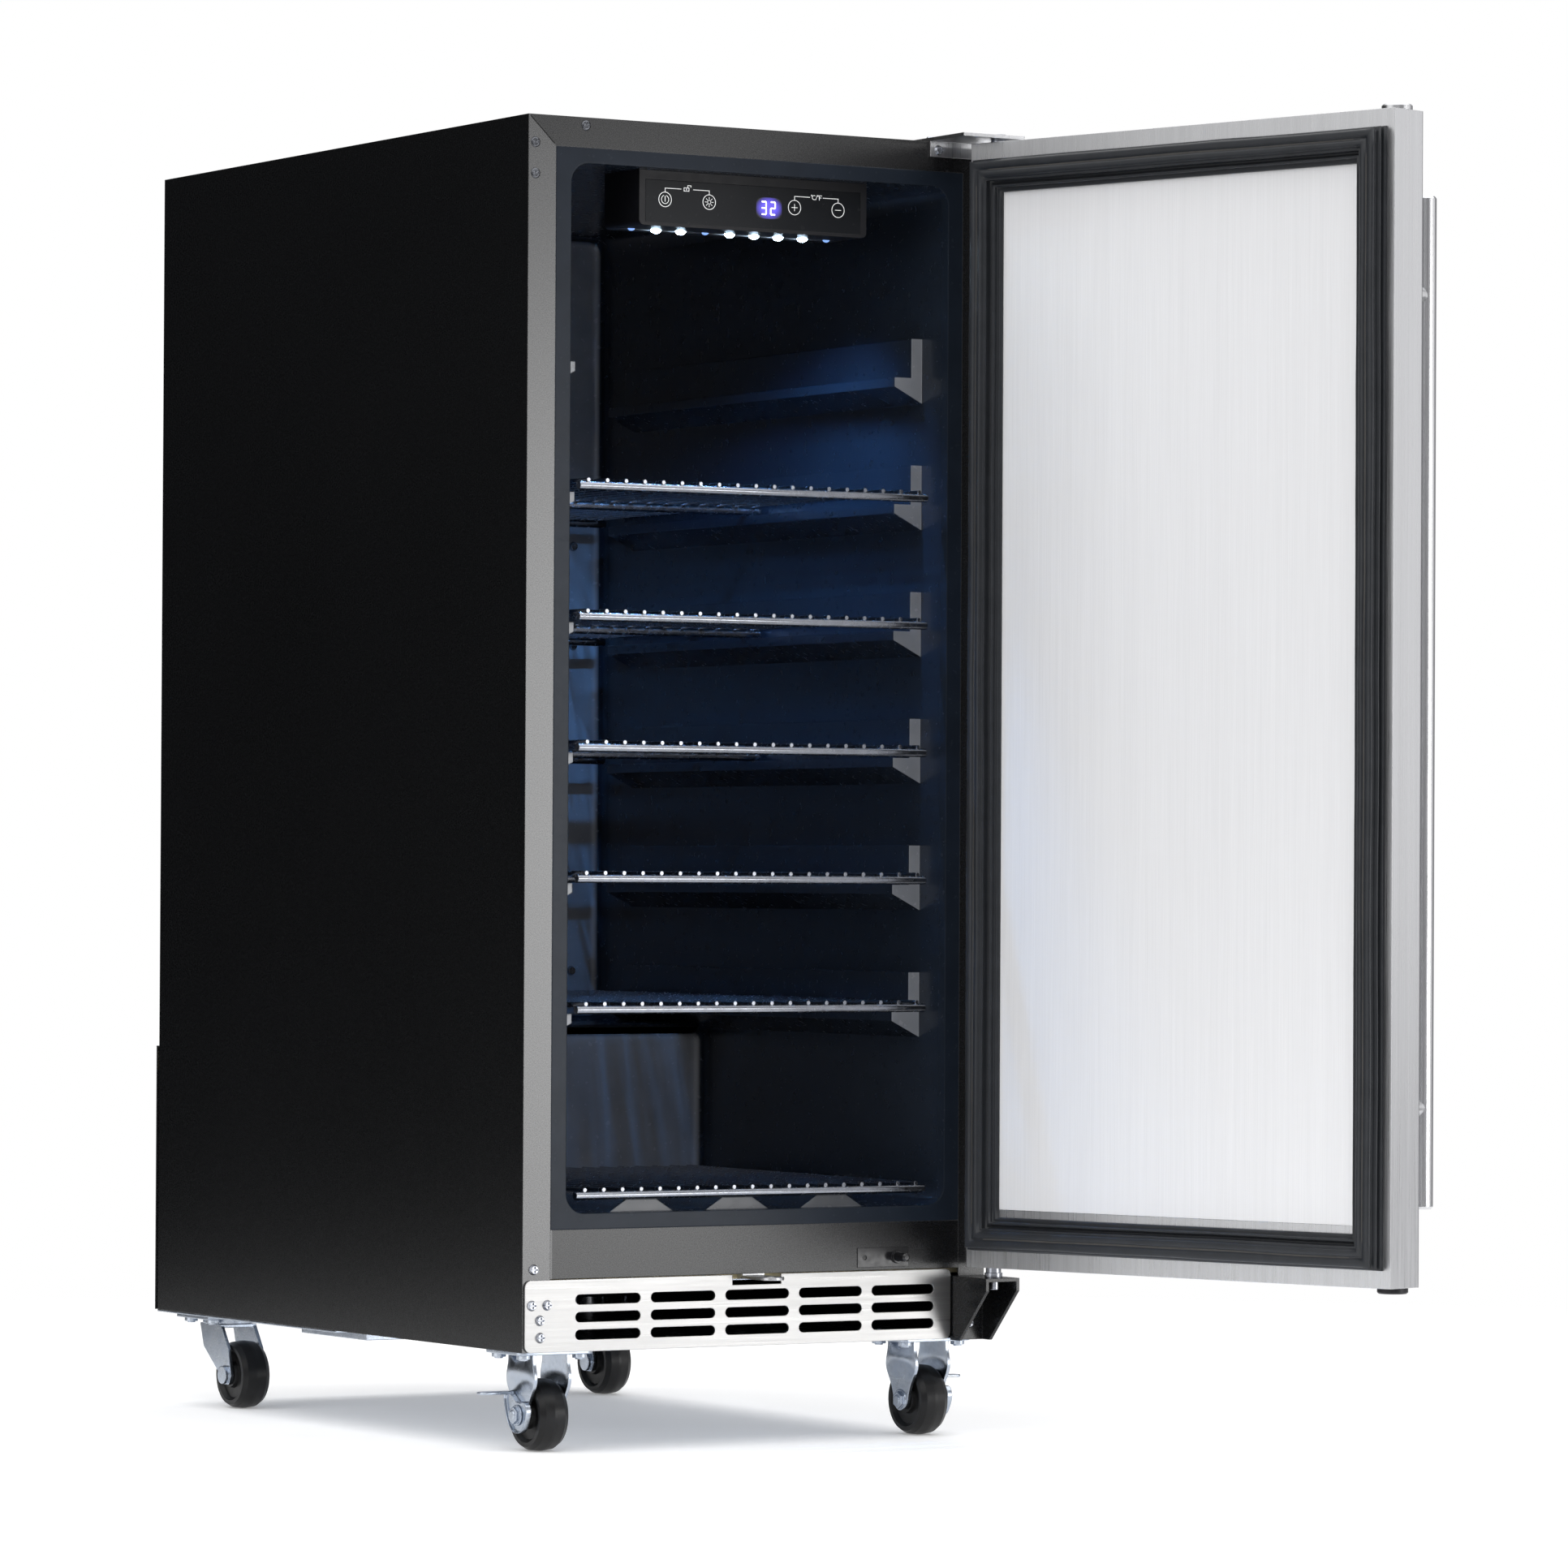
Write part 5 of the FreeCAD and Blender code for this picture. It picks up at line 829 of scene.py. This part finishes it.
def front_caster(forks, name):
    """Adds one caster's plate, legs, shaft, washers and nuts.

    Returns its axle, the brake's side (-1 or 1) and how far out the brake plate starts, in mm.
    """
    wheel_low, wheel_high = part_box(f"front_wheel_{name}")
    axle = (wheel_low + wheel_high) / 2
    side = -1 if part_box(f"brake_pedal_{name}")[0].x < wheel_low.x else 1
    forks.origin = axle
    top_plate(forks, (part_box("front_caster_forks")[1].z - axle.z) / MM)
    inner = (wheel_high.x - wheel_low.x) / 2 / MM + WHEEL_GAP
    for leg_side in (-1, 1):
        fork_leg(forks, inner, leg_side)
    face = inner + LEG_SHEET
    near = face + BRAKE_GAP
    brake_face = near + BRAKE_SHEET + BRAKE_GAP
    forks.disc(3.9, *sorted((-side * (face + 1.5), side * (brake_face + 2.0))), 24)
    for outward, base, discs in ((side, brake_face, BRAKE_SIDE), (-side, face, PLAIN_SIDE)):
        for radius, start, end, corners, edge in discs:
            span = sorted((outward * (base + start), outward * (base + end)))
            forks.disc(radius, *span, corners, edge)
    return axle, side, near


def brake_pedal(name, axle, side, near):
    """A cup-shaped sector round the axle with a thin tab that the foot presses."""
    pedal = Solid(axle)
    outline = round_corners(PEDAL_OUTLINE, 3)
    ring = []
    for u, v in outline:
        turn = math.atan2(v, u)
        ring.append((PEDAL_HOLE * math.cos(turn), PEDAL_HOLE * math.sin(turn)))
    top = BRAKE_SHEET + PEDAL_RIM
    # the cup's section, from the hole out over the rim and back: (share of the way to the outline, height)
    section = ((0.0, 0.0), (1.0, 0.0), (1.0, top), (0.93, top), (0.88, BRAKE_SHEET), (0.0, BRAKE_SHEET))
    for share, out in section:
        for (u, v), (a, b) in zip(outline, ring):
            point = (side * (near + out), a + (u - a) * share, b + (v - b) * share)
            pedal.points.append(pedal.origin + Vector(point) * MM)
    rows, count = len(section), len(outline)
    for row in range(rows):
        for i in range(count):
            j, a, b = (i + 1) % count, row * count, (row + 1) % rows * count
            pedal.faces.append([a + i, a + j, b + j, b + i])
    brake_low, brake_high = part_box(f"brake_pedal_{name}")
    tip = near + (brake_high.x - brake_low.x) / MM
    tab = []
    for step in range(13):
        turn = math.radians(-90 + 15 * step)
        tab.append((side * (tip - TAB_ROUND + TAB_ROUND * math.cos(turn)),
                    TAB_MIDDLE + TAB_HALF * math.sin(turn)))
    tab += [(side * (near + out), back) for out, back in TAB_ROOT]
    pedal.plate(tab, "Z", *TAB_LEVELS, 0.4)
    obj = piece(f"brake_pedal_{name}_pressed_steel", pedal.points, pedal.faces, LOOKS["zinc_steel"],
                f"brake_pedal_{name}", "zinc_steel", True, 32)
    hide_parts(f"brake_pedal_{name}")


def front_casters():
    """Both casters' forks as one piece, like their CAD node, and one pedal each."""
    forks = Solid((0, 0, 0))
    for name in ("left", "right"):
        brake_pedal(name, *front_caster(forks, name))
    obj = piece("front_caster_forks_pressed_steel", forks.points, forks.faces, LOOKS["zinc_steel"],
                "cabinet", "zinc_steel", True, 32)
    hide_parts("front_caster_forks")


# ---------------------------------------------------------------- floor, light and background

def floor():
    """A pale floor that fades into the background away from the object."""
    radius, steps = 5.0, 96
    points = [(radius * math.cos(2 * math.pi * i / steps), radius * math.sin(2 * math.pi * i / steps), 0)
              for i in range(steps)]
    mesh = bpy.data.meshes.new("floor")
    mesh.from_pydata(points, [], [list(range(steps))])
    obj = bpy.data.objects.new("floor", mesh)
    bpy.context.scene.collection.objects.link(obj)
    look = Look("floor_look", edge=0, Specular_IOR_Level=0.2, Emission_Strength=0.22)
    look.shader.inputs["Emission Color"].default_value = (1, 1, 1, 1)
    look.paint(look.colours(look.noise(3, detail=4), (0.3, grey(0.93)), (0.7, grey(0.96))))
    look.rough(look.noise(8), 0.55, 0.7)
    distance = look.new("ShaderNodeVectorMath", operation="LENGTH")
    look.link(look.place, distance.inputs[0])
    clear = look.span(distance.outputs["Value"], 0.0, 1.0, 0.75, 1.7)
    look.tree.nodes.remove(look.tree.nodes["Material Output"])
    output = look.new("ShaderNodeOutputMaterial")
    nothing = look.new("ShaderNodeBsdfTransparent")
    mix = look.new("ShaderNodeMixShader")
    look.link(clear, mix.inputs[0])
    look.link(look.shader.outputs[0], mix.inputs[1])
    look.link(nothing.outputs[0], mix.inputs[2])
    look.link(mix.outputs[0], output.inputs["Surface"])
    dress(obj, look)


def softbox(name, place, aim, size, radiance):
    """A white rectangle of light as bright as its radiance, whatever its size."""
    light = bpy.data.lights.new(name, "AREA")
    light.shape = "RECTANGLE"
    light.size, light.size_y = size
    light.energy = radiance * math.pi * size[0] * size[1]
    obj = bpy.data.objects.new(name, light)
    obj.location = place
    obj.rotation_euler = (Vector(aim) - Vector(place)).to_track_quat("-Z", "Y").to_euler()
    obj.visible_camera = False
    bpy.context.scene.collection.objects.link(obj)


def world():
    """White to the camera; to everything else a room that is grey at the back right and dark elsewhere."""
    scene_world = bpy.data.worlds.new("studio")
    scene_world.use_nodes = True
    bpy.context.scene.world = scene_world
    tree = scene_world.node_tree
    backdrop = tree.nodes["Background"]
    backdrop.inputs["Color"].default_value = (1, 1, 1, 1)
    backdrop.inputs["Strength"].default_value = 1.0
    room = tree.nodes.new("ShaderNodeBackground")
    place = tree.nodes.new("ShaderNodeTexCoord")
    dot = tree.nodes.new("ShaderNodeVectorMath")
    dot.operation = "DOT_PRODUCT"
    dot.inputs[1].default_value = (-0.52, 0.85, 0.05)
    tree.links.new(place.outputs["Generated"], dot.inputs[0])
    ramp = tree.nodes.new("ShaderNodeValToRGB")
    for element, (at, level) in zip(ramp.color_ramp.elements, ((0.55, 0.34), (0.85, 0.004))):
        element.position = at
        element.color = (level, level, level * 1.03, 1)
    tree.links.new(dot.outputs["Value"], ramp.inputs["Fac"])
    tree.links.new(ramp.outputs["Color"], room.inputs["Color"])
    path = tree.nodes.new("ShaderNodeLightPath")
    mix = tree.nodes.new("ShaderNodeMixShader")
    tree.links.new(path.outputs["Is Camera Ray"], mix.inputs[0])
    tree.links.new(room.outputs[0], mix.inputs[1])
    tree.links.new(backdrop.outputs[0], mix.inputs[2])
    tree.links.new(mix.outputs[0], tree.nodes["World Output"].inputs["Surface"])


SOFTBOXES = [           # name, place, aim, size and radiance
    ("overhead", (0, -0.3, 3.2), (0, 0, 0), (6.5, 6.5), 1.75),
    ("front_right", (2.35, -3.7, 0.42), (0, 0, 0.45), (1.9, 1.45), 5.0),
    ("left", (-3.2, -0.3, 1.3), (0.2, -0.3, 0.6), (3.2, 3.2), 1.15),
    ("right", (3.2, -1.8, 1.2), (0.2, -0.3, 0.5), (1.4, 2.4), 0.9),
    ("front_left", (-2.0, -3.6, 2.4), (0, 0, 0.5), (1.6, 1.6), 1.2),
]

make_camera()
panel_print()
display_digits()
display_window()
lamp_row()
door_gasket()
front_casters()
floor()
world()
for box in SOFTBOXES:
    softbox(*box)
bpy.context.scene.view_settings.view_transform = "Standard"
